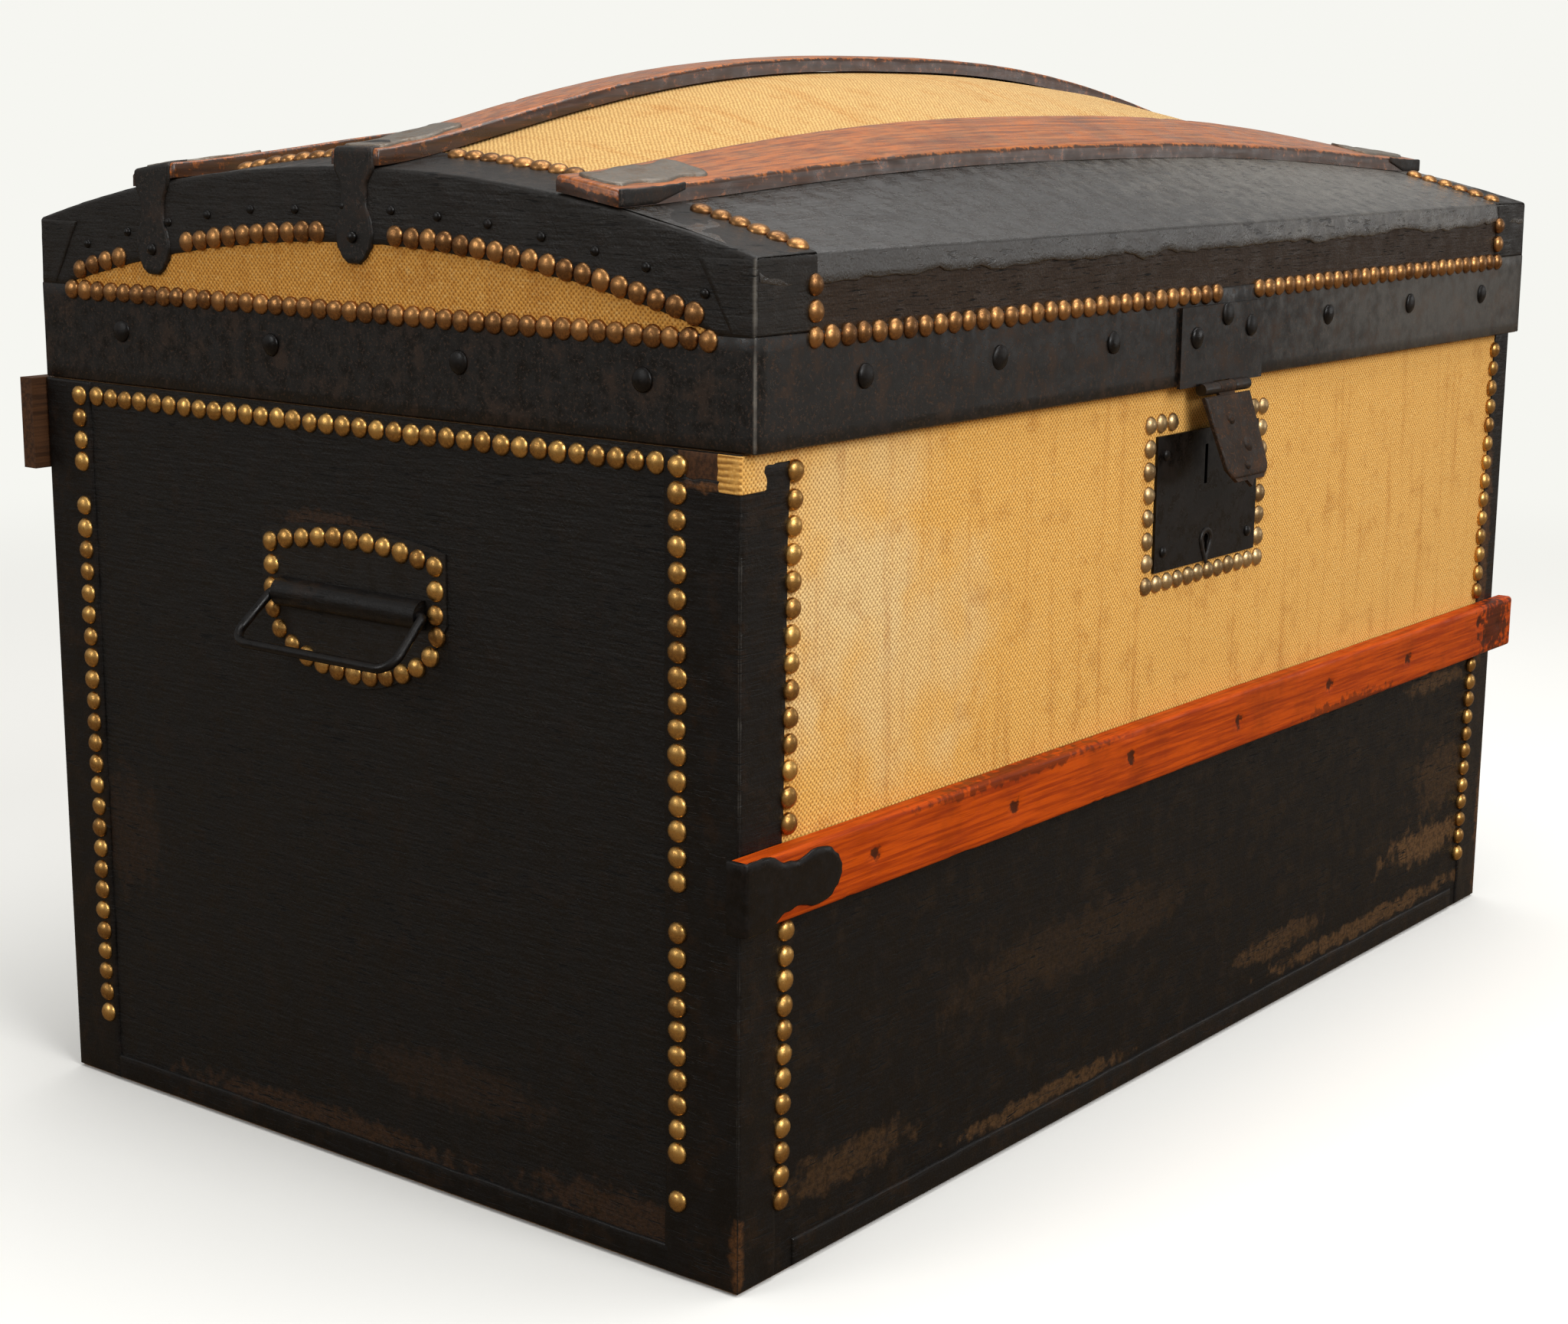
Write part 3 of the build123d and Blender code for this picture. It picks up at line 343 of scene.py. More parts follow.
corner_wear = [
    (-418, -246, 20, 6, 6, 24, 0.5),
    (-419, -247, 200, 2.2, 2.2, 190, 0.5),
    (418, -246, 60, 8, 16, 60, 0.5),
    (398, -246, 250, 8, 20, 90, 0.4),
    (-408, -247, 388, 9, 3, 6, 0.8),
    (-418, -225, 384, 3, 14, 3, 0.8),
]
# Painted highlight line down the chest's near upright corner.
corner_edge_highlight = [(-417.9, -245.9, 300, 1.7, 1.7, 110, 0.45), (-417.9, -245.9, 100, 1.5, 1.5, 110, 0.25)]
# Painted highlight line down the lid's near upright corner.
lid_edge_highlight = [(-415.9, -251.9, 470, 1.6, 1.6, 30, 0.4)]
# Painted highlight on the band's near corner and painted glare along the right of its front.
band_highlights = [(-416.4, -252.4, 426, 1.4, 1.4, 40, 0.5), (300, -252, 430, 260, 12, 70, 0.16)]
# Painted sheen over the front top leather, towards its right.
top_leather_sheen = [(230, -150, 520, 340, 150, 120, 0.36)]
pale = [
    (-340, -245, 325, 80, 60, 70, 0.7),
    (-300, -245, 290, 90, 60, 60, 0.5),
    (-345, -245, 380, 80, 60, 40, 0.5),
]
canvas("canvas_front", 0, 2, (238, 182, 96), (240, 186, 104), pale)
canvas("canvas_end", 1, 2, (232, 170, 84), (222, 160, 76))
canvas("canvas_dome", 0, 1, (204, 166, 106), (196, 166, 118))
leather("leather_end", (15, 13, 11), 0.46, end_wear, 0.12, 0.6, specular=0.25)
leather("leather_front", (11, 8, 6), 0.46, front_wear, 0.08, 0.4, brown=(104, 74, 44))
leather(
    "leather_corner", (10, 8, 7), 0.4, corner_wear, 0.12, 0.4, (112, 72, 38),
    coat=0.12, painted_highlights=corner_edge_highlight,
)
leather("leather_lid", (20, 17, 14), 0.42, (), 0.15, 0.4, specular=0.3, painted_highlights=lid_edge_highlight)
leather(
    "leather_top", (22, 18, 14), 0.26, (), 0.3, 0.7,
    specular=0.9, along=(0.08, 0.9, 0.3), coat=0.2, painted_highlights=top_leather_sheen,
)
leather("leather_strip", (36, 26, 18), 0.44, (), 0.45, 0.5)
iron("band", (14, 12, 10), (44, 29, 17), 0.36, 0.8, 0.2, specular=0.35, painted_highlights=band_highlights)
iron("lock", (8, 6, 5), (24, 15, 9), 0.3, 0.4, 0.12, specular=0.25)
iron("fittings", (20, 17, 14), (48, 33, 22), 0.42, 0.6, 0.35, metal=0.1, specular=0.35)
iron("plate", (112, 104, 94), (86, 64, 44), 0.4, 0.6, 0.4, metal=0.6)
iron("rust", (36, 26, 18), (70, 46, 28), 0.55, 0.8, 0.8, metal=0.3, specular=0.35)
wood("slat", (178, 96, 28), (112, 54, 14), 0.3, 0.35, greys=0.25, specular=0.4)
wood("batten", (190, 74, 2), (146, 48, 2), 0.42, 0.0, batten_wear, 0.2, specular=0.14)
wood("old_wood", (84, 54, 32), (54, 34, 20), 0.6, 0.0, specular=0.2)
wood("pine", (176, 132, 84), (130, 90, 52), 0.7, 0.0, pores=0.5)
brass("nail_lid", (178, 130, 80), (104, 72, 46), 0.34)
brass("nail_chest", (216, 170, 98), (142, 102, 56), 0.32)
brass("nail_lock", (200, 170, 124), (130, 104, 72), 0.34)


def add_object(name, data):
    """Puts an object into the scene."""
    made = bpy.data.objects.new(name, data)
    bpy.context.scene.collection.objects.link(made)
    return made


def mesh(name, verts, faces, body, material, replaces=()):
    """Adds one piece from points in millimetres."""
    data = bpy.data.meshes.new(name)
    data.from_pydata([(x * MM, y * MM, z * MM) for x, y, z in verts], [], faces)
    data.polygons.foreach_set("use_smooth", [True] * len(faces))
    data.materials.append(MATERIAL[material])
    data.update()
    made = add_object(name, data)
    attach(made, body)
    if replaces:
        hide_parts(*replaces)
    return made


def stops(low, high, step, r=1.0):
    """Places from low to high, closer together near both ends."""
    count = max(2, round((high - low - 2 * r) / step))
    inner = [low + r + (high - low - 2 * r) * i / count for i in range(count + 1)]
    return [low, low + 0.12 * r, low + 0.45 * r] + inner + [high - 0.45 * r, high - 0.12 * r, high]


def roll(distance, r):
    """Height share of a rounded edge at that distance from it."""
    if distance >= r:
        return 1.0
    return math.sqrt(max(0.0, 1 - (1 - distance / r) ** 2))


def ends(place, places, r, extra=0.0):
    """Height share at a place in a row of places whose two ends are rounded."""
    return roll(min(place - places[0], places[-1] - place) + extra, r)


def grid(us, vs, flip=False):
    """Faces of a grid of points, a row for each of us and a column for each of vs."""
    columns = len(vs)
    faces = []
    for i in range(len(us) - 1):
        for j in range(columns - 1):
            a = i * columns + j
            face = (a, a + 1, a + columns + 1, a + columns)
            faces.append(face[::-1] if flip else face)
    return faces


def bar(us, vs, flip=False):
    """Faces of a closed bar: a grid with both ends capped."""
    first = tuple(range(len(vs)))
    last = tuple(k + (len(us) - 1) * len(vs) for k in first)
    return grid(us, vs, flip) + [first, last[::-1]]


def hoops(start, rings, around):
    """Faces between rings of points, the first of which begins at start."""
    faces = []
    for first in range(start, start + (rings - 1) * around, around):
        for k in range(around):
            a = first + k
            b = first + (k + 1) % around
            faces.append((a, b, b + around, a + around))
    return faces


def cap(verts, faces, rings, around, place, peak):
    """Adds a low dome of rings, whose points come from place, closed by a peak."""
    start = len(verts)
    for ring in rings:
        verts += [place(ring, 2 * math.pi * k / around) for k in range(around)]
    verts.append(peak)
    faces += hoops(start, len(rings), around)
    last = start + (len(rings) - 1) * around
    faces += [(last + k, last + (k + 1) % around, last + around) for k in range(around)]


def sheet(place, us, vs, thick, r=1.0):
    """Points of a sheet on a surface: place gives a point and normal, and the edges roll down to it."""
    sink = 0.4
    verts = []
    for u in us:
        for v in vs:
            point, normal = place(u, v)
            edge = ends(u, us, r) * ends(v, vs, r)
            verts.append(Vector(point) + Vector(normal) * (-sink + (thick + sink) * edge))
    return verts


def shell(name, place, us, vs, thick, body, slot, material, replaces=(), r=1.0, flip=False):
    """Sheet on a surface as a piece of its own."""
    faces = grid(us, vs, flip)
    return mesh(name, sheet(place, us, vs, thick, r), faces, body, material, replaces)


class Fold:
    """Path through points in a plane with rounded corners."""

    def __init__(self, points, r, turns=6):
        points = [Vector(p) for p in points]
        line = [points[0]]
        for before, corner, after in zip(points, points[1:], points[2:]):
            a = (before - corner).normalized()
            b = (after - corner).normalized()
            half = a.angle(b) / 2
            run = r / math.tan(half)
            middle = corner + (a + b).normalized() * (r / math.sin(half))
            start = corner + a * run - middle
            end = corner + b * run - middle
            line += [middle + start.slerp(end, i / turns) for i in range(turns + 1)]
        line.append(points[-1])
        self.line = line
        self.at_knot = [0.0]
        for a, b in zip(line, line[1:]):
            self.at_knot.append(self.at_knot[-1] + (b - a).length)
        self.length = self.at_knot[-1]

    def at(self, s):
        k = 0
        while k < len(self.line) - 2 and self.at_knot[k + 1] < s:
            k += 1
        a, b = self.line[k], self.line[k + 1]
        return a + (b - a) * ((s - self.at_knot[k]) / (self.at_knot[k + 1] - self.at_knot[k]))

    def side(self, s):
        run = self.at(min(s + 0.4, self.length)) - self.at(max(s - 0.4, 0.0))
        return Vector((run.y, -run.x)).normalized()

    def stops(self, step, r=1.0):
        even = stops(0.0, self.length, step, r)
        near = [k for k in self.at_knot[1:-1] if 2 * r < k < self.length - 2 * r]
        kept = [s for s in even if all(abs(s - k) > 0.35 for k in near)]
        return sorted(kept + near)


def paint_cad():
    """Every CAD piece still shown takes its finish."""
    finish = {
        "canvas": "canvas_front",
        "black_leather": "leather_end",
        "varnished_wood": "batten",
        "brass": "nail_chest",
        "black_iron": "fittings",
        "rusty_iron": "rust",
        "pine": "pine",
    }
    special = {
        "front_lower_cover": "leather_front",
        "lid_front_strip": "leather_strip",
        "lid_back_strip": "leather_strip",
        "lock_plate": "lock",
        "hasp_plate": "band",
        "back_batten": "old_wood",
    }
    for word in SIDE.values():
        special[f"{word}_bail"] = "lock"
        special[f"{word}_handle_socket"] = "leather_corner"
        special[f"{word}_handle_patch"] = "leather_lid"
    for row in frame["record"]["subparts"]:
        data = nodes[row["node"]].data
        data.materials.clear()
        data.materials.append(MATERIAL[special.get(row["node"], finish[row["material_slot"]])])


def islands(node):
    """Base point and normal of each nail or rivet in a CAD node."""
    data = nodes[node].data
    root = list(range(len(data.vertices)))

    def top(i):
        while root[i] != i:
            root[i] = root[root[i]]
            i = root[i]
        return i

    seen = {}
    for v in data.vertices:
        key = tuple(round(c * 20000) for c in v.co)
        root[v.index] = seen.setdefault(key, v.index)
    for face in data.polygons:
        first = top(face.vertices[0])
        for i in face.vertices[1:]:
            root[top(i)] = first
    groups = {}
    for v in data.vertices:
        groups.setdefault(top(v.index), []).append(v.co / MM)
    found = []
    for points in groups.values():
        cloud = np.array([tuple(p) for p in points])
        centre = (cloud.min(0) + cloud.max(0)) / 2
        axis = np.linalg.svd(cloud - cloud.mean(0))[2][2]
        for _ in range(2):
            high = (cloud - centre) @ axis
            wide = np.linalg.norm(cloud - centre - np.outer(high, axis), axis=1)
            if high[wide > 0.9 * wide.max()].mean() > (high.min() + high.max()) / 2:
                axis = -axis
                high = -high
            ring = cloud[high < high.min() + 0.12]
            base = (ring.min(0) + ring.max(0)) / 2
            fitted = np.linalg.svd(ring - ring.mean(0))[2][2]
            axis = fitted * (1 if fitted @ axis > 0 else -1)
        radius = np.linalg.norm(ring - base, axis=1).max()
        found.append((Vector(base), Vector(axis).normalized(), float(radius)))
    return sorted(found, key=lambda f: tuple(round(c, 1) for c in f[0]))


# Nail heads as (share of the radius, height) rings, the last one the peak.
PROFILE = [(1.0, -1.3), (1.03, 0.35), (0.98, 0.95), (0.86, 1.85)]
PROFILE += [(0.66, 2.6), (0.4, 3.1), (0.16, 3.3), (0.0, 3.33)]
FLAT = [(1.0, -0.3), (1.02, 0.4), (0.94, 1.1), (0.75, 1.75), (0.45, 2.2), (0.2, 2.4), (0.0, 2.45)]


def heads(name, node, body, material, profile=PROFILE, jitter=0.25, around=14):
    """Slightly uneven nail heads in place of a CAD node of nails."""
    verts = []
    faces = []
    tint = []
    for base, normal, radius in islands(node):
        lean = Vector([rng.uniform(-1, 1) for _ in range(3)]) * 0.07
        normal = (normal + lean).normalized()
        side = normal.orthogonal().normalized()
        other = normal.cross(side)
        base = base + side * rng.uniform(-jitter, jitter) + other * rng.uniform(-jitter, jitter)
        size = radius * rng.uniform(0.96, 1.05)
        squash = rng.uniform(0.88, 1.03)
        shade = rng.random()
        start = len(verts)
        scale = radius / 5.2 if profile is PROFILE else 1.0

        def place(ring, a):
            out = size * ring[0] * (1 + 0.02 * math.sin(3 * a + shade * 9))
            rim = base + side * out * math.cos(a) + other * out * math.sin(a)
            return rim + normal * ring[1] * squash * scale

        peak = base + normal * profile[-1][1] * squash * scale
        cap(verts, faces, profile[:-1], around, place, peak)
        tint += [shade] * (len(verts) - start)
    made = mesh(name, verts, faces, body, material, (node,))
    made.data.attributes.new("tint", "FLOAT", "POINT").data.foreach_set("value", tint)


def nails():
    """Brass heads of every row, and the black rivets of the band and lock."""
    heads("chest_nail_heads", "chest_nails", "chest", "nail_chest")
    heads("handle_nail_heads", "handle_ring_nails", "chest", "nail_chest")
    heads("lock_nail_heads", "lock_ring_nails", "chest", "nail_lock")
    heads("lid_nail_heads", "lid_nails", "lid", "nail_lid")
    heads("lid_rivet_heads", "lid_rivets", "lid", "lock", FLAT, 0.1, 20)
    low = [(share, height * 0.75) for share, height in FLAT]
    heads("lock_rivet_heads", "lock_rivets", "chest", "lock", low, 0.1, 14)


def slat(name, node, middle, width):
    """Bowed slat with rounded, knocked edges in place of the CAD one."""
    reach = 415.5
    edge = 2.2
    half = width / 2
    arc = [math.pi * k / 8 for k in range(5)]
    rise = [(-half, 0.0, 0.0), (-half, 3.0, 0.3)]
    rise += [(-half + edge - edge * math.cos(a), 8 - edge + edge * math.sin(a), 1.0) for a in arc]
    top = [(-half + edge + (width - 2 * edge) * k / 6, 8.0, 0.0) for k in range(1, 6)]
    section = rise + top + [(-y, h, sharp) for y, h, sharp in rise[::-1]]
    xs = stops(-reach, reach, 5.0, 2.0)
    verts = []
    for x in xs:
        end = roll(reach - abs(x), 2.0)
        for y, h, sharp in section:
            chip = 0.0
            if sharp == 1.0:
                chip = max(0.0, wave(x * 0.06, middle + (3 if y > 0 else 0)) - 0.35) * 2.2
            wobble = 0.35 * wave(x * 0.02, middle, h)
            py = middle + (y + wobble) * (0.985 + 0.015 * end) - math.copysign(min(chip, 1.2), y)
            lift = h * (0.75 + 0.25 * end) - chip * 0.6
            if h > 4:
                lift += 0.12 * wave(x * 0.05, y * 0.1, middle)
            verts.append((x, py, dome(x, middle + y) + SLAT_REST + lift))
    made = mesh(name, verts, bar(xs, section, True), "lid", "slat", (node,))
    # 1 on the slat's sides and rounded edges, where shade is painted, and 0 on its top.
    side_shade = [max(0.0, (abs(y) - half + edge) / edge) for y, _, _ in section]
    made.data.attributes.new("side_shade", "FLOAT", "POINT").data.foreach_set("value", side_shade * len(xs))


def half_width(stations):
    """Smooth width along a strap from a few (place, half width) pairs."""

    def width(s):
        for (a, wa), (b, wb) in zip(stations, stations[1:]):
            if s <= b:
                t = (s - a) / (b - a)
                t = t * t * (3 - 2 * t)
                return wa + (wb - wa) * t
        return stations[-1][1]

    return width


# Half widths of an end strap, from its foot on the lid's end up to its tip on the slat.
STRAP_OUTLINE = [(0, 4.0), (4, 8.5), (9, 12.0), (14, 13.6), (20, 12.5), (30, 8.4), (38, 9.0), (47, 13.4)]
STRAP_OUTLINE += [(56, 13.6), (70, 12.6), (84, 14.2), (98, 11.6), (110, 13.4), (120, 10.0), (130, 4.0)]


def strap(name, side, middle):
    """Hourglass strap down the lid's end and over the slat's end."""
    crest = dome(LID_X, middle) + 9.35
    path = Fold([(LID_X, crest - 56.0), (LID_X, crest), (LID_X - 22.0, crest)], 2.0)
    width = half_width(STRAP_OUTLINE)

    def place(s, t):
        point = path.at(min(s, path.length))
        x = point.x
        out = path.side(min(s, path.length))
        w = width(s * 130 / path.length if s > 56 else s) + 0.5 * wave(s * 0.12, side, middle)
        y = middle + t * w
        level = dome(LID_X, middle)
        if x < LID_X - 2.5:
            z = point.y + (dome(x, y) - level)
        else:
            z = point.y + (dome(LID_X, y) - level) * max(0.0, point.y - crest + 20) / 20
        normal = Vector((out.x * side, 0.0, out.y))
        return (x * side, y, z), normal

    us = path.stops(2.5, 0.8)
    vs = [-1, -0.985, -0.94, -0.85, -0.6, -0.3, 0, 0.3, 0.6, 0.85, 0.94, 0.985, 1]
    verts = []
    for u in us:
        for v in vs:
            point, normal = place(u, v)
            edge = roll((1 - abs(v)) * 12, 0.8) * ends(u, us, 0.8)
            verts.append(Vector(point) + normal * (-0.5 + 2.1 * edge))
    return mesh(name, verts, grid(us, vs, side < 0), "lid", "fittings")


def wavy_plate(name, side, middle, x0, x1, half, seed):
    """Wavy-edged iron plate on top of a slat's end."""
    steps = stops(0.0, x1 - x0, 2.5, 0.8)
    vs = [-1, -0.985, -0.93, -0.7, -0.35, 0, 0.35, 0.7, 0.93, 0.985, 1]
    verts = []
    for s in steps:
        share = s / (x1 - x0)
        w = half * (0.86 + 0.12 * math.cos(share * 4 * math.pi + seed)) + 0.5 * wave(s * 0.2, seed)
        w *= ends(s, steps, 7.0, 0.6)
        for v in vs:
            x = side * (LID_X - x0 - s)
            y = middle + v * w
            edge = roll((1 - abs(v)) * half, 0.9) * ends(s, steps, 0.9)
            verts.append((x, y, dome(x, y) + 9.25 + (-0.5 + 1.9 * edge) + 0.25 * wave(s * 0.1, v, seed)))
    return mesh(name, verts, grid(steps, vs, side > 0), "lid", "plate")


def slats():
    """The three slats with their straps, plates and clips."""
    slat("front_slat_wood", "front_slat", FRONT_SLAT, 39.0)
    slat("middle_slat_wood", "middle_slat", MIDDLE_SLAT, 33.0)
    slat("back_slat_wood", "back_slat", BACK_SLAT, 33.0)
    for side, word in SIDE.items():
        for label, middle in (("middle", MIDDLE_SLAT), ("back", BACK_SLAT)):
            strap(f"{label}_strap_{word}", side, middle)
            wavy_plate(f"{label}_plate_{word}", side, middle, 3.0, 68.0, 14.0, middle * 0.01 + side)
        wavy_plate(f"front_clip_{word}", side, FRONT_SLAT, 6.0, 74.0, 15.0, 1.3 + side)
    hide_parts("slat_end_straps")
    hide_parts("front_slat_clips")

    us = stops(0, 46, 2.5)
    vs = stops(0, 8, 1.5, 0.6)
    for side, word in SIDE.items():

        def shoe(u, v, side=side):
            x = side * (LID_X - 0.6 - u)
            y = FRONT_SLAT - 19.5 - 0.2
            top = 8.2 + 0.8 * wave(u * 0.1, 3.0)
            low = 0.2 + max(0.0, u - 26) * 0.25
            return (x, y, dome(x, y + 0.4) + SLAT_REST + low + (top - low) * v / 8.0), (0.0, -1.0, 0.0)

        shell(f"front_slat_shoe_{word}", shoe, us, vs, 0.9, "lid", "black_iron", "fittings", flip=side > 0)


def dome_sheets():
    """Canvas and leathers of the domed top."""
    xs = stops(-414.0, 414.0, 7.0, 3.0)
    ys = [FRONT_SLAT + (BACK_SLAT - FRONT_SLAT) * j / 60 for j in range(61)]
    verts = []
    for x in xs:
        fade = unit((366 - abs(x)) / 30)
        for y in ys:
            near = min(abs(y - middle) for middle in (FRONT_SLAT, MIDDLE_SLAT, BACK_SLAT))
            puff = fade * unit((near - 19) / 30) * (0.8 + 1.1 * wave(x * 0.012, y * 0.02))
            verts.append((x, y, dome(x, y) + max(0.0, puff)))
    faces = grid(xs, ys, True)
    mesh("dome_canvas_sheet", verts, faces, "lid", "canvas_dome", ("dome_canvas",))

    for name, node, inner, face, sign in (
        ("front_top_leather", "dome_front_leather", FRONT_SLAT, LID_FRONT + 1.2, -1),
        ("back_top_leather", "dome_back_leather", BACK_SLAT, LID_BACK - 1.2, 1),
    ):
        flat = abs(face - inner)
        xs = stops(-413.0, 413.0, 5.0, 2.0)
        fold = Fold([(0.0, 0.0), (flat, 0.0), (flat, -15.0)], 2.0)
        vs = fold.stops(4.0, 1.0)
        verts = []
        for x in xs:
            hang = 13.0 + 4.0 * wave(x * 0.02, sign) + 1.5 * wave(x * 0.11, sign + 4)
            hang = max(5.0, min(17.0, hang))
            for v in vs:
                point = fold.at(v)
                out = fold.side(v)
                y = inner + sign * point.x
                drop = point.y * hang / 15.0
                wrinkle = 0.5 * wave(x * 0.03, y * 0.06, sign) * min(1.0, point.x / 20) * (point.y > -1)
                thick = -0.4 + 1.5 * roll(fold.length - v, 1.0)
                z = dome(x, y) + drop - out.y * thick + max(0.0, wrinkle)
                verts.append((x, y - sign * out.x * thick, z))
        mesh(name, verts, grid(xs, vs, sign < 0), "lid", "leather_top", (node,))


def window_edge(y):
    """Lower edge of the lid's end leather: an arch over the canvas window."""
    share = abs(y - LID_MID) / 225.0
    if share >= 1:
        return BAND_TOP - 1.0
    return BAND_TOP + 0.5 + 30.0 * (1 - share**2)


def end_leather(side, word):
    """Leather folded from the dome down one end to the arch of the canvas window."""
    ys = stops(LID_FRONT + 0.6, LID_BACK - 0.6, 5.0, 2.0)
    shares = [0.0, 0.003, 0.012, 0.03] + [0.03 + 0.97 * k / 10 for k in range(1, 11)]
    verts = []
    for y in ys:
        top = dome(LID_X, y)
        low = window_edge(y) + 0.5 * wave(y * 0.08, side)
        inner = 45.0 + 0.8 * wave(y * 0.05, side)
        path = Fold([(LID_X - inner, 0.0), (LID_X - 1.2, 0.0), (LID_X - 1.2, low - top)], 1.8, 7)
        rounded = path.at_knot[-2]
        drop = path.length - rounded
        places = [path.at_knot[1] * share for share in shares] + path.at_knot[2:-1]
        places += [rounded + drop * k / 12 for k in range(1, 12)]
        places += [path.length - 0.5, path.length - 0.12, path.length]
        across = ends(y, ys, 1.2, 0.3)
        for s in places:
            point = path.at(s)
            out = path.side(s)
            on_top = s <= rounded
            z = point.y + (dome(point.x, y) if on_top and point.x < LID_X - 3 else top)
            edge = roll(min(s, path.length - s), 1.0) * across
            crease = 0.0 if on_top else 0.25 * wave(y * 0.09, s * 0.02, side)
            lump = 0.35 * wave(y * 0.035, s * 0.05, side + 3)
            push = -0.3 + 1.55 * edge + max(-0.2, crease + lump)
            verts.append((side * (point.x + abs(out.x) * push), y, z + abs(out.y) * push))
    faces = grid(ys, places, side < 0)
    return mesh(f"lid_end_leather_{word}", verts, faces, "lid", "leather_lid")


def lid_corner(side, word, sign, face):
    """Leather folded round one upright corner of the lid."""
    corner = Fold([(LID_X - 45.0, 0.0), (LID_X - 1.2, 0.0), (LID_X - 1.2, -34.0)], 1.6)
    top = dome(LID_X, face)
    zs = stops(BAND_TOP, top - 0.5, 3.0, 0.8)
    vs = corner.stops(4.0, 0.8)
    verts = []
    for z in zs:
        lean = 12.0 + 20.0 * (z - BAND_TOP) / (top - BAND_TOP)
        for v in vs:
            point = corner.at(v)
            out = corner.side(v)
            inward = -point.y * lean / 34.0
            edge = ends(v, vs, 0.8) * ends(z, zs, 0.8, 0.2)
            thick = -0.3 + (1.95 if inward > 2 else 1.5) * edge + 0.15 * wave(v * 0.1, z * 0.1, side)
            y = face - sign * 1.2 - sign * inward + sign * abs(out.y) * thick
            verts.append((side * (point.x + abs(out.x) * thick), y, z))
    faces = grid(zs, vs, (side < 0) == (sign < 0))
    return mesh(f"lid_corner_{FACE[sign]}_{word}", verts, faces, "lid", "leather_lid")


def lid_ends():
    """Leathers of the lid's ends and corners."""
    for side, word in SIDE.items():
        made = end_leather(side, word)
        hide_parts(f"lid_rim_{word}")
        if side > 0:
            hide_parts("dome_edge_leathers")
        for sign, face in ((-1, LID_FRONT), (1, LID_BACK)):
            made = lid_corner(side, word, sign, face)
    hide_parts("lid_corner_leathers")


def bands():
    """Iron band along the lid's lower edge."""
    vs = stops(SEAM + 0.2, BAND_TOP - 0.2, 6.0, 0.8)
    us = stops(LID_FRONT + 0.2, LID_BACK - 0.2, 8.0, 0.8)
    for side, word in SIDE.items():

        def end_band(u, v, side=side):
            return (side * (LID_X - 1.2 + 0.15 * wave(u * 0.02, v * 0.05, side)), u, v), (side, 0.0, 0.0)

        node = (f"lid_band_{word}",)
        shell(f"band_end_{word}", end_band, us, vs, 1.2, "lid", "black_iron", "band", node, 0.8, side > 0)
    us = stops(-LID_X + 0.3, LID_X - 0.3, 8.0, 0.8)
    for sign, face in ((-1, LID_FRONT), (1, LID_BACK)):

        def long_band(u, v, face=face, sign=sign):
            return (u, face - sign * 1.2 + sign * 0.15 * wave(u * 0.02, v * 0.05, sign), v), (0.0, sign, 0.0)

        label = FACE[sign]
        node = (f"lid_band_{label}",)
        shell(f"band_{label}", long_band, us, vs, 1.2, "lid", "black_iron", "band", node, 0.8, sign < 0)


def window_canvas():
    """Canvas that shows in the arch at each end of the lid."""
    us = stops(LID_MID - 236.0, LID_MID + 236.0, 8.0)
    vs = stops(0.0, 40.0, 4.0)
    foot = 447.0
    for side, word in SIDE.items():

        def place(u, v, side=side):
            puff = 0.5 + 0.4 * wave(u * 0.03, v * 0.3, side)
            share = math.sin(math.pi * unit(v / 40.0))
            z = foot + (window_edge(u) + 6.0 - foot) * v / 40.0
            return (side * (LID_X - 1.2 + puff * share * 0.6), u, z), (side, 0.0, 0.0)

        name = f"window_canvas_{word}"
        made = shell(name, place, us, vs, 0.05, "lid", "canvas", "canvas_end", flip=side > 0)
        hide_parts(f"lid_canvas_{word}")


def front_canvas():
    """Canvas of the chest's front, open behind the lock plate."""

    def place(u, v):
        sag = 0.35 + 0.4 * wave(u * 0.012, v * 0.02)
        ring = max(abs(u - LOCK_X) / 72.0, abs(v - LOCK_Z) / 54.0)
        fade = unit((END_X - 40 - abs(u)) / 25) * unit((ring - 1.0) * 3.0)
        return (u, -COVER_Y - max(0.0, sag) * fade, v), (0.0, -1.0, 0.0)

    us = stops(-410.0, 410.0, 8.0, 1.0)
    vs = stops(200.0, CHEST_EDGE, 8.0, 1.0)
    verts = sheet(place, us, vs, 0.05)
    faces = []
    for face in grid(us, vs):
        middle = sum((verts[i] for i in face), Vector()) / 4
        if abs(middle.x - LOCK_X) >= 40.0 or abs(middle.z - LOCK_Z) >= 32.0:
            faces.append(face)
    mesh("front_canvas_sheet", verts, faces, "chest", "canvas_front", ("front_canvas",))


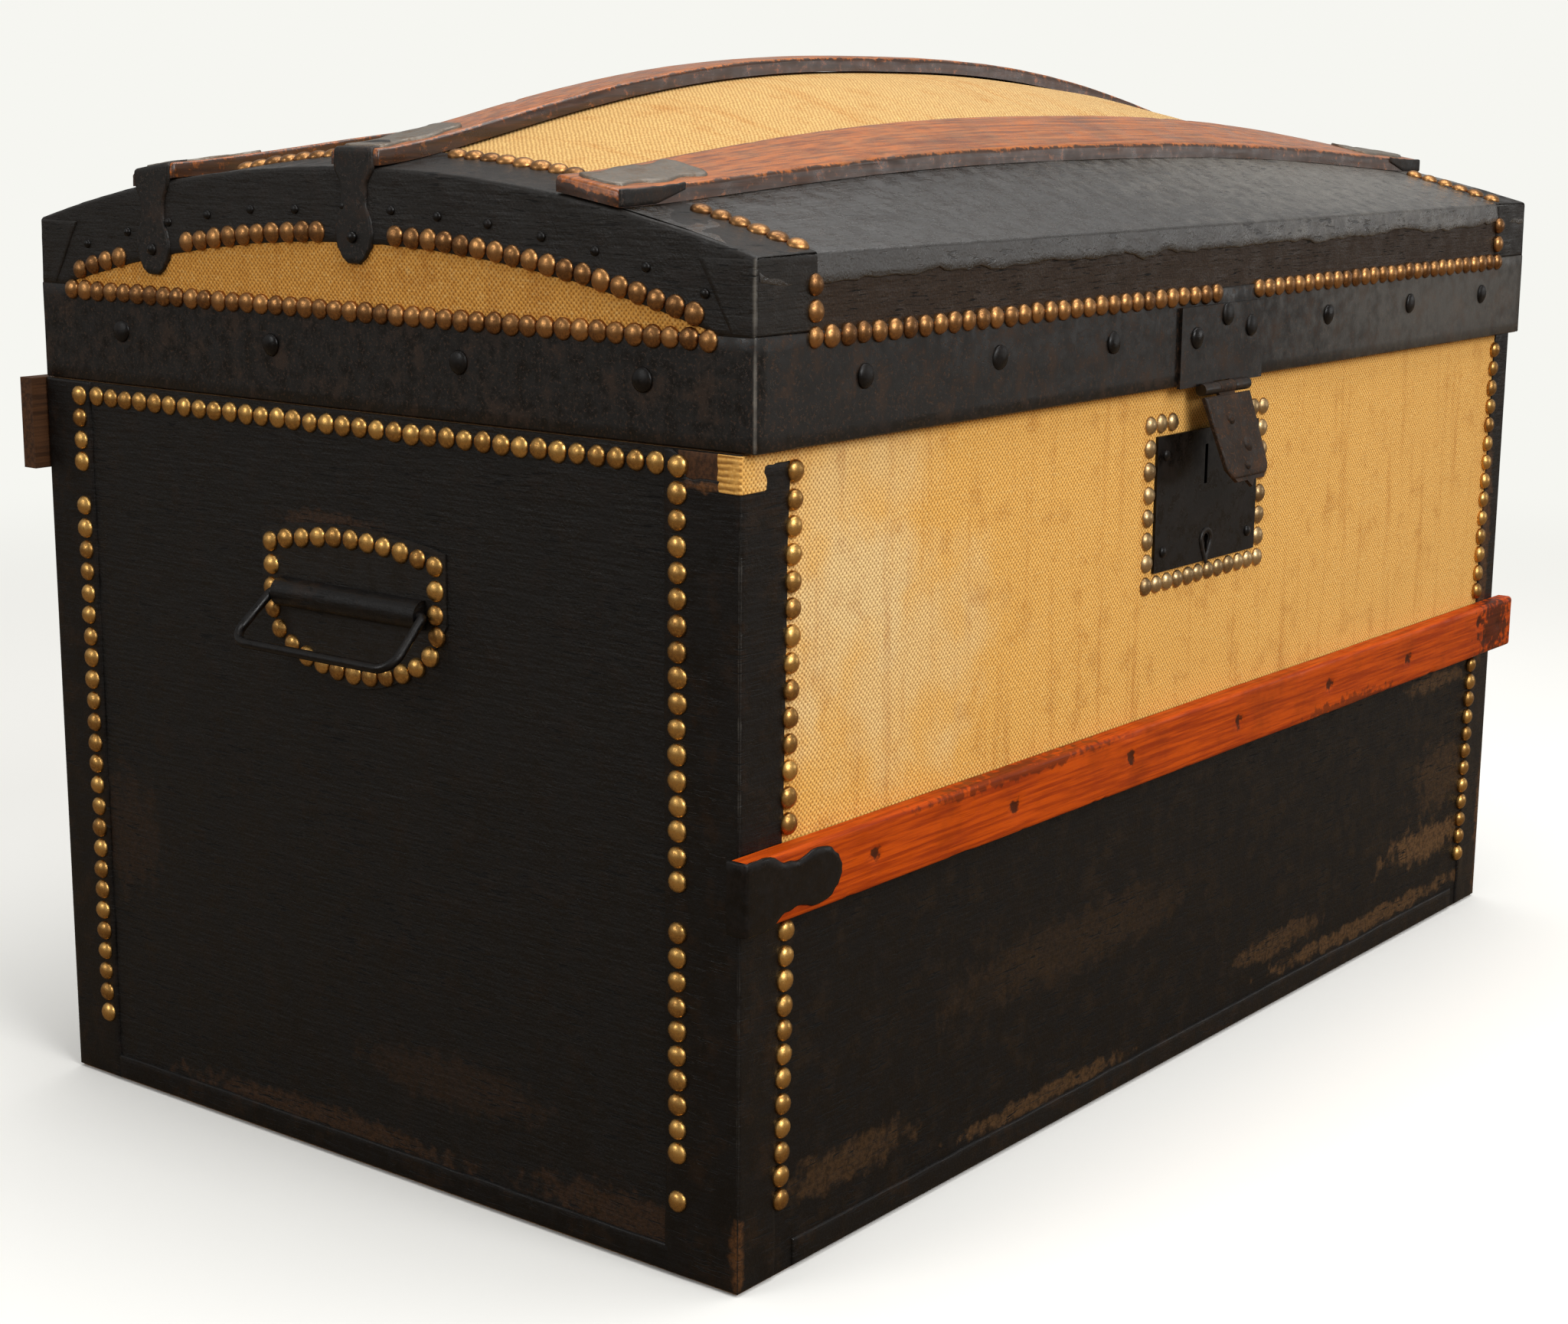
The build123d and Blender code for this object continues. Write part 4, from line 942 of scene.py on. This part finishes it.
def corner_leather(side, sign, wrap):
    """Leather folded round one upright corner of the chest; the near one is torn at its top."""
    corner = Fold([(COVER_X - wrap, 0.0), (COVER_X, 0.0), (COVER_X, -wrap)], 1.8)
    zs = stops(1.2, CHEST_EDGE, 5.0, 1.0)
    vs = corner.stops(4.0, 1.0)
    tall = CHEST_EDGE - TEAR_FOOT
    verts = []
    for z in zs:
        ragged = 1.1 * wave(z * 0.03, side, sign) + 0.5 * wave(z * 0.15, side, sign)
        climb = (z - 39.0) / 353.0
        trim = 0.0
        if sign < 0:
            trim = 16.3 - 7.0 * climb if side < 0 else 12.3 + 9.0 * climb
        for v in vs:
            share = v / corner.length
            s = v + trim * max(0.0, 1 - v / 38.0)
            s += -ragged * max(0.0, 1 - share * 4) + ragged * max(0.0, share * 4 - 3)
            s = min(max(s, 0.0), corner.length)
            point = corner.at(s)
            out = corner.side(s)
            edge = ends(v, vs, 1.0) * ends(z, zs, 1.0, 0.2)
            thick = -0.3 + 1.6 * edge + max(-0.15, 0.2 * wave(v * 0.06, z * 0.03, side))
            height = z
            if side < 0 and sign < 0 and z > TEAR_FOOT:
                drop = 12.5 * unit((36.0 + point.y) / 4.0) - 7.0 * unit((COVER_X - point.x) / 6.0)
                drop += 0.9 * wave(point.x * 0.2, -point.y * 0.15)
                height = TEAR_FOOT + (z - TEAR_FOOT) * (tall - max(0.0, drop)) / tall
            y = sign * (COVER_Y + abs(out.y) * thick + point.y)
            verts.append((side * (point.x + abs(out.x) * thick), y, height))
    faces = grid(zs, vs, (side < 0) == (sign < 0))
    return mesh(f"corner_{FACE[sign]}_{SIDE[side]}", verts, faces, "chest", "leather_corner")


def torn_corner():
    """Bare wood and a flap of canvas under the torn leather."""

    def bare(u, v):
        return (-COVER_X, u, v), (-1.0, 0.0, 0.0)

    top = CHEST_EDGE - 0.1
    us = stops(-236.0, -209.0, 3.0, 0.6)
    shell("torn_wood", bare, us, stops(383.0, top, 3.0, 0.6), 0.3, "chest", "pine", "old_wood", r=0.6)
    flap = Fold([(COVER_X - 24, 0.0), (COVER_X, 0.0), (COVER_X, -13.0)], 0.5)
    zs = stops(382.0, top, 3.0, 0.6)
    vs = flap.stops(3.0, 0.6)
    verts = []
    for z in zs:
        for v in vs:
            point = flap.at(v)
            out = flap.side(v)
            edge = ends(v, vs, 0.6) * ends(z, zs, 0.6, 0.1)
            thick = -0.3 + 1.0 * edge + 0.1 * wave(v * 0.3, z * 0.2)
            ragged = 1.5 * wave(z * 0.2, 4.0) * max(0.0, (-point.y - 8.0) / 5.0)
            y = -COVER_Y - abs(out.y) * thick - point.y + ragged
            verts.append((-(point.x + abs(out.x) * thick), y, z))
    mesh("torn_canvas", verts, grid(zs, vs, True), "chest", "canvas_front")


def bindings():
    """Leather strip round the chest's foot."""
    vs = stops(1.2, 15.0, 3.0)
    kind = ("chest", "black_leather", "leather_corner")
    for sign in (-1, 1):

        def lift(u, v, sign=sign):
            return v + 0.8 * wave(u * 0.02, sign) * (v > 10)

        def long_edge(u, v, sign=sign):
            return (u, sign * COVER_Y, lift(u, v)), (0.0, sign, 0.0)

        def end_edge(u, v, sign=sign):
            return (sign * COVER_X, u, lift(u, v)), (sign, 0.0, 0.0)

        us = stops(-376.0, 376.0, 8.0)
        made = shell(f"binding_{FACE[sign]}", long_edge, us, vs, 1.25, *kind, flip=sign < 0)
        us = stops(-204.0, 210.0, 8.0)
        shell(f"binding_{SIDE[sign]}", end_edge, us, vs, 1.25, *kind, flip=sign > 0)
    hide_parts("bottom_binding")


def chest_sheets():
    """Front canvas, folded corner leathers and the bottom binding."""
    front_canvas()
    for side in SIDE:
        for sign, wrap in ((-1, 44.0), (1, 38.0)):
            made = corner_leather(side, sign, wrap)
    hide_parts("corner_leathers")
    torn_corner()
    bindings()


def batten():
    """Front batten with rounded, dented edges."""
    low, high = BATTEN_LOW, BATTEN_HIGH
    deep = BATTEN_DEEP
    middle = (low + high) / 2
    r = 2.4
    arc = [math.pi * k / 8 for k in range(5)]
    section = [(0.0, low)]
    section += [(deep - r + r * math.sin(a), low + r - r * math.cos(a)) for a in arc]
    section += [(deep, low + r + (high - low - 2 * r) * k / 12) for k in range(1, 12)]
    section += [(deep - r + r * math.sin(a), high - r + r * math.cos(a)) for a in arc[::-1]]
    section.append((0.0, high))
    xs = stops(-BATTEN_END, BATTEN_END, 3.5, 2.0)
    verts = []
    for x in xs:
        end = roll(BATTEN_END - abs(x), 2.0)
        for out, z in section:
            bite = 0.0
            if out > 6 and abs(z - middle) > (high - low) / 2 - 3:
                bite = max(0.0, wave(x * 0.05, z * 0.02) - 0.4) * 2.0
            hollow = 0.0
            if out > 9:
                hollow = sum(1.1 * math.exp(-((x - dx) ** 2 + (z - dz) ** 2) / 14.0) for dx, dz in dents)
            ripple = 0.15 * wave(x * 0.03, z * 0.1) if out > 5 else 0.0
            depth = out * (0.9 + 0.1 * end) - bite - hollow + ripple
            height = z - math.copysign(bite * 0.4, z - middle) + 0.25 * wave(x * 0.01, 1.0)
            verts.append((x, -FACE_Y - max(0.0, depth), height))
    faces = bar(xs, section)
    mesh("front_batten_wood", verts, faces, "chest", "batten", ("front_batten",))


# Half widths of the batten's cap, from the fold at its end to its tip.
CAP_OUTLINE = [(0, 17.6), (16, 17.6), (30, 12.0), (40, 11.0), (52, 14.0), (62, 13.0), (69, 8.0), (72, 3.0)]


def batten_cap():
    """Waisted iron cap folded round the batten's left end."""
    width = half_width(CAP_OUTLINE)
    middle = (BATTEN_LOW + BATTEN_HIGH) / 2
    end = BATTEN_END + 0.1
    front = -FACE_Y - BATTEN_DEEP - 0.1
    path = Fold([(end, -FACE_Y + 0.3), (end, front), (end - 72.0, front)], 0.8)
    us = path.stops(2.5, 0.8)
    vs = [-1, -0.985, -0.94, -0.7, -0.35, 0, 0.35, 0.7, 0.94, 0.985, 1]
    verts = []
    for u in us:
        point = path.at(u)
        out = path.side(u)
        w = width(max(0.0, u - 10.0)) + 0.5 * wave(u * 0.2, 7.0)
        for v in vs:
            edge = roll((1 - abs(v)) * w, 0.8) * roll(min(u + 1, path.length - u), 0.8)
            thick = -0.3 + 1.5 * edge
            verts.append((-(point.x + abs(out.x) * thick), point.y - abs(out.y) * thick, middle + v * w))
    mesh("batten_cap_iron", verts, grid(us, vs), "chest", "lock", ("batten_end_cap",))


def keyhole():
    """Raised iron rim round the keyhole."""
    y = -COVER_Y - 1.8
    around = 28
    rings = ((1.0, 0.0), (0.98, 0.7), (0.86, 1.1), (0.66, 0.9), (0.6, 0.0))
    verts = []
    for share, lift in rings:
        for k in range(around):
            a = 2 * math.pi * k / around
            down = max(0.0, -math.sin(a))
            rx = 7.2 * share * (1 - 0.42 * down**2)
            rz = (7.2 + 7.0 * down**2) * share
            verts.append((LOCK_X + rx * math.cos(a), y - lift, 309.0 + rz * math.sin(a)))
    faces = hoops(0, len(rings), around)
    mesh("keyhole_escutcheon", verts, faces, "chest", "fittings")


def hasp_front():
    """Beaten face of the hasp and its three rivets."""
    tilt = Matrix.Rotation(math.radians(-20.0), 3, "X")
    pin = Vector((0.0, -256.1, 397.0))
    us = stops(-52.0, -5.0, 2.5, 1.0)
    vs = [-1, -0.985, -0.94, -0.8, -0.6, -0.4, -0.2, 0, 0.2, 0.4, 0.6, 0.8, 0.94, 0.985, 1]
    verts = []
    for u in us:
        w = 22.6 + 2.8 * (u + 52.0) / 47.0 - 7.0 * (1 - roll(u + 52.0 + 0.4, 8.0))
        for v in vs:
            edge = roll((1 - abs(v)) * w, 1.3) * ends(u, us, 1.3)
            hump = 0.5 * (1 - v * v) + 0.25 * wave(u * 0.08, v * 2.0)
            verts.append(pin + tilt @ Vector((v * w, -1.0 - (-0.25 + 1.1 * edge + hump * edge), u)))
    mesh("hasp_face", verts, grid(us, vs, True), "hasp", "rust")

    verts = []
    faces = []
    rings = ((1.0, 0.6), (0.92, 1.5), (0.65, 2.4), (0.3, 2.9))
    for cx, cz, radius in ((-6.0, -18.0, 4.2), (5.0, -34.0, 4.6), (-2.0, -46.0, 2.6)):

        def place(ring, a):
            out = radius * ring[0]
            return pin + tilt @ Vector((cx + out * math.cos(a), -1.2 - ring[1], cz + out * math.sin(a)))

        cap(verts, faces, rings, 16, place, pin + tilt @ Vector((cx, -4.2, cz)))
    mesh("hasp_bumps", verts, faces, "hasp", "rust")


def rim_tacks():
    """Small black tacks in the leather over each end window."""
    verts = []
    faces = []
    rings = ((1.0, 0.0), (0.9, 0.8), (0.5, 1.3))
    for side in SIDE:
        for i in range(14):
            cy = 205.0 - i * 33.0 + 5.0 * wave(i * 0.7, side)
            cz = window_edge(cy) + 17.0 + 2.0 * wave(i * 0.9, side)

            def place(ring, a):
                out = 2.4 * ring[0]
                return (side * (LID_X + ring[1]), cy + out * math.cos(a), cz + out * math.sin(a))

            cap(verts, faces, rings, 10, place, (side * (LID_X + 1.5), cy, cz))
    mesh("rim_tacks", verts, faces, "lid", "lock")


def studio_floor():
    """Floor that is pale to the camera, brightens away from the trunk and gives a darker bounce."""
    data = bpy.data.meshes.new("floor")
    corners = [(-30, -30), (30, -30), (30, 30), (-30, 30)]
    data.from_pydata([(x, y, -0.0006) for x, y in corners], [], [(0, 1, 2, 3)])
    floor = add_object("floor", data)
    finish = bpy.data.materials.new("floor")
    finish.use_nodes = True
    tree = finish.node_tree
    tree.nodes.clear()
    path = add_node(tree, "ShaderNodeLightPath")
    seen = add_node(tree, "ShaderNodeBsdfDiffuse", {0: srgb(240, 239, 235)})
    bounce = add_node(tree, "ShaderNodeBsdfDiffuse", {0: srgb(120, 104, 86)})
    glow = add_node(tree, "ShaderNodeEmission", {0: srgb(246, 246, 241)})
    place = add_node(tree, "ShaderNodeTexCoord")
    far = add_node(tree, "ShaderNodeVectorMath", {0: place.outputs["Object"]}, operation="LENGTH")
    reach = {0: far.outputs["Value"], 1: 0.75, 2: 2.4}
    share = add_node(tree, "ShaderNodeMapRange", reach, interpolation_type="SMOOTHSTEP")
    both = {0: share.outputs[0], 1: seen.outputs[0], 2: glow.outputs[0]}
    pale_floor = add_node(tree, "ShaderNodeMixShader", both)
    both = {0: path.outputs["Is Camera Ray"], 1: bounce.outputs[0], 2: pale_floor.outputs[0]}
    either = add_node(tree, "ShaderNodeMixShader", both)
    add_node(tree, "ShaderNodeOutputMaterial", {0: either.outputs[0]})
    data.materials.append(finish)


def background():
    """Even pale background, which lights the trunk less than it shows."""
    world = bpy.data.worlds.new("studio")
    bpy.context.scene.world = world
    world.use_nodes = True
    tree = world.node_tree
    tree.nodes.clear()
    path = add_node(tree, "ShaderNodeLightPath")
    seen = add_node(tree, "ShaderNodeBackground", {0: srgb(246, 246, 241), 1: 1.0})
    light = add_node(tree, "ShaderNodeBackground", {0: (1.0, 0.99, 0.97, 1.0), 1: 0.4})
    both = {0: path.outputs["Is Camera Ray"], 1: light.outputs[0], 2: seen.outputs[0]}
    either = add_node(tree, "ShaderNodeMixShader", both)
    add_node(tree, "ShaderNodeOutputWorld", {0: either.outputs[0]})


def lights():
    """Large soft lights: name, place, aim, size and power."""
    for name, place, aim, size, power in (
        ("overhead", (0.2, -0.2, 2.6), (0.0, 0.0, 0.4), 2.6, 52.0),
        ("key", (-0.7, -2.6, 1.9), (0.0, 0.0, 0.3), 1.8, 65.0),
        ("end_fill", (-2.6, 0.9, 1.5), (0.0, 0.0, 0.3), 1.4, 17.0),
        ("right_glow", (3.0, -2.3, 0.7), (0.3, -0.2, 0.4), 1.3, 7.0),
    ):
        lamp = bpy.data.lights.new(name, "AREA")
        lamp.shape = "DISK"
        lamp.size = size
        lamp.energy = power
        made = add_object(name, lamp)
        made.location = place
        made.rotation_euler = (Vector(aim) - Vector(place)).to_track_quat("-Z", "Y").to_euler()


def camera():
    """Camera fitted to straight edges of the trunk in the photograph."""
    scene = bpy.context.scene
    scene.view_settings.view_transform = "Standard"
    yaw = math.radians(37.82)
    pitch = math.radians(12.10)
    turn = math.radians(-0.437)
    ahead = Vector((math.cos(yaw) * math.cos(pitch), math.sin(yaw) * math.cos(pitch), -math.sin(pitch)))
    right = Vector((math.sin(yaw), -math.cos(yaw), 0.0))
    down = ahead.cross(right)
    x_axis = right * math.cos(turn) + down * math.sin(turn)
    y_axis = -(down * math.cos(turn) - right * math.sin(turn))
    data = bpy.data.cameras.new("camera")
    data.lens = 61.51
    data.sensor_width = 36.0
    data.sensor_fit = "HORIZONTAL"
    data.clip_end = 100.0
    made = add_object("camera", data)
    basis = Matrix((x_axis, y_axis, -ahead)).transposed().to_4x4()
    made.matrix_world = Matrix.Translation((-1.33261, -0.98075, 0.55849)) @ basis
    scene.camera = made


paint_cad()
nails()
slats()
dome_sheets()
lid_ends()
bands()
window_canvas()
chest_sheets()
batten()
batten_cap()
keyhole()
hasp_front()
rim_tacks()
studio_floor()
background()
lights()
camera()
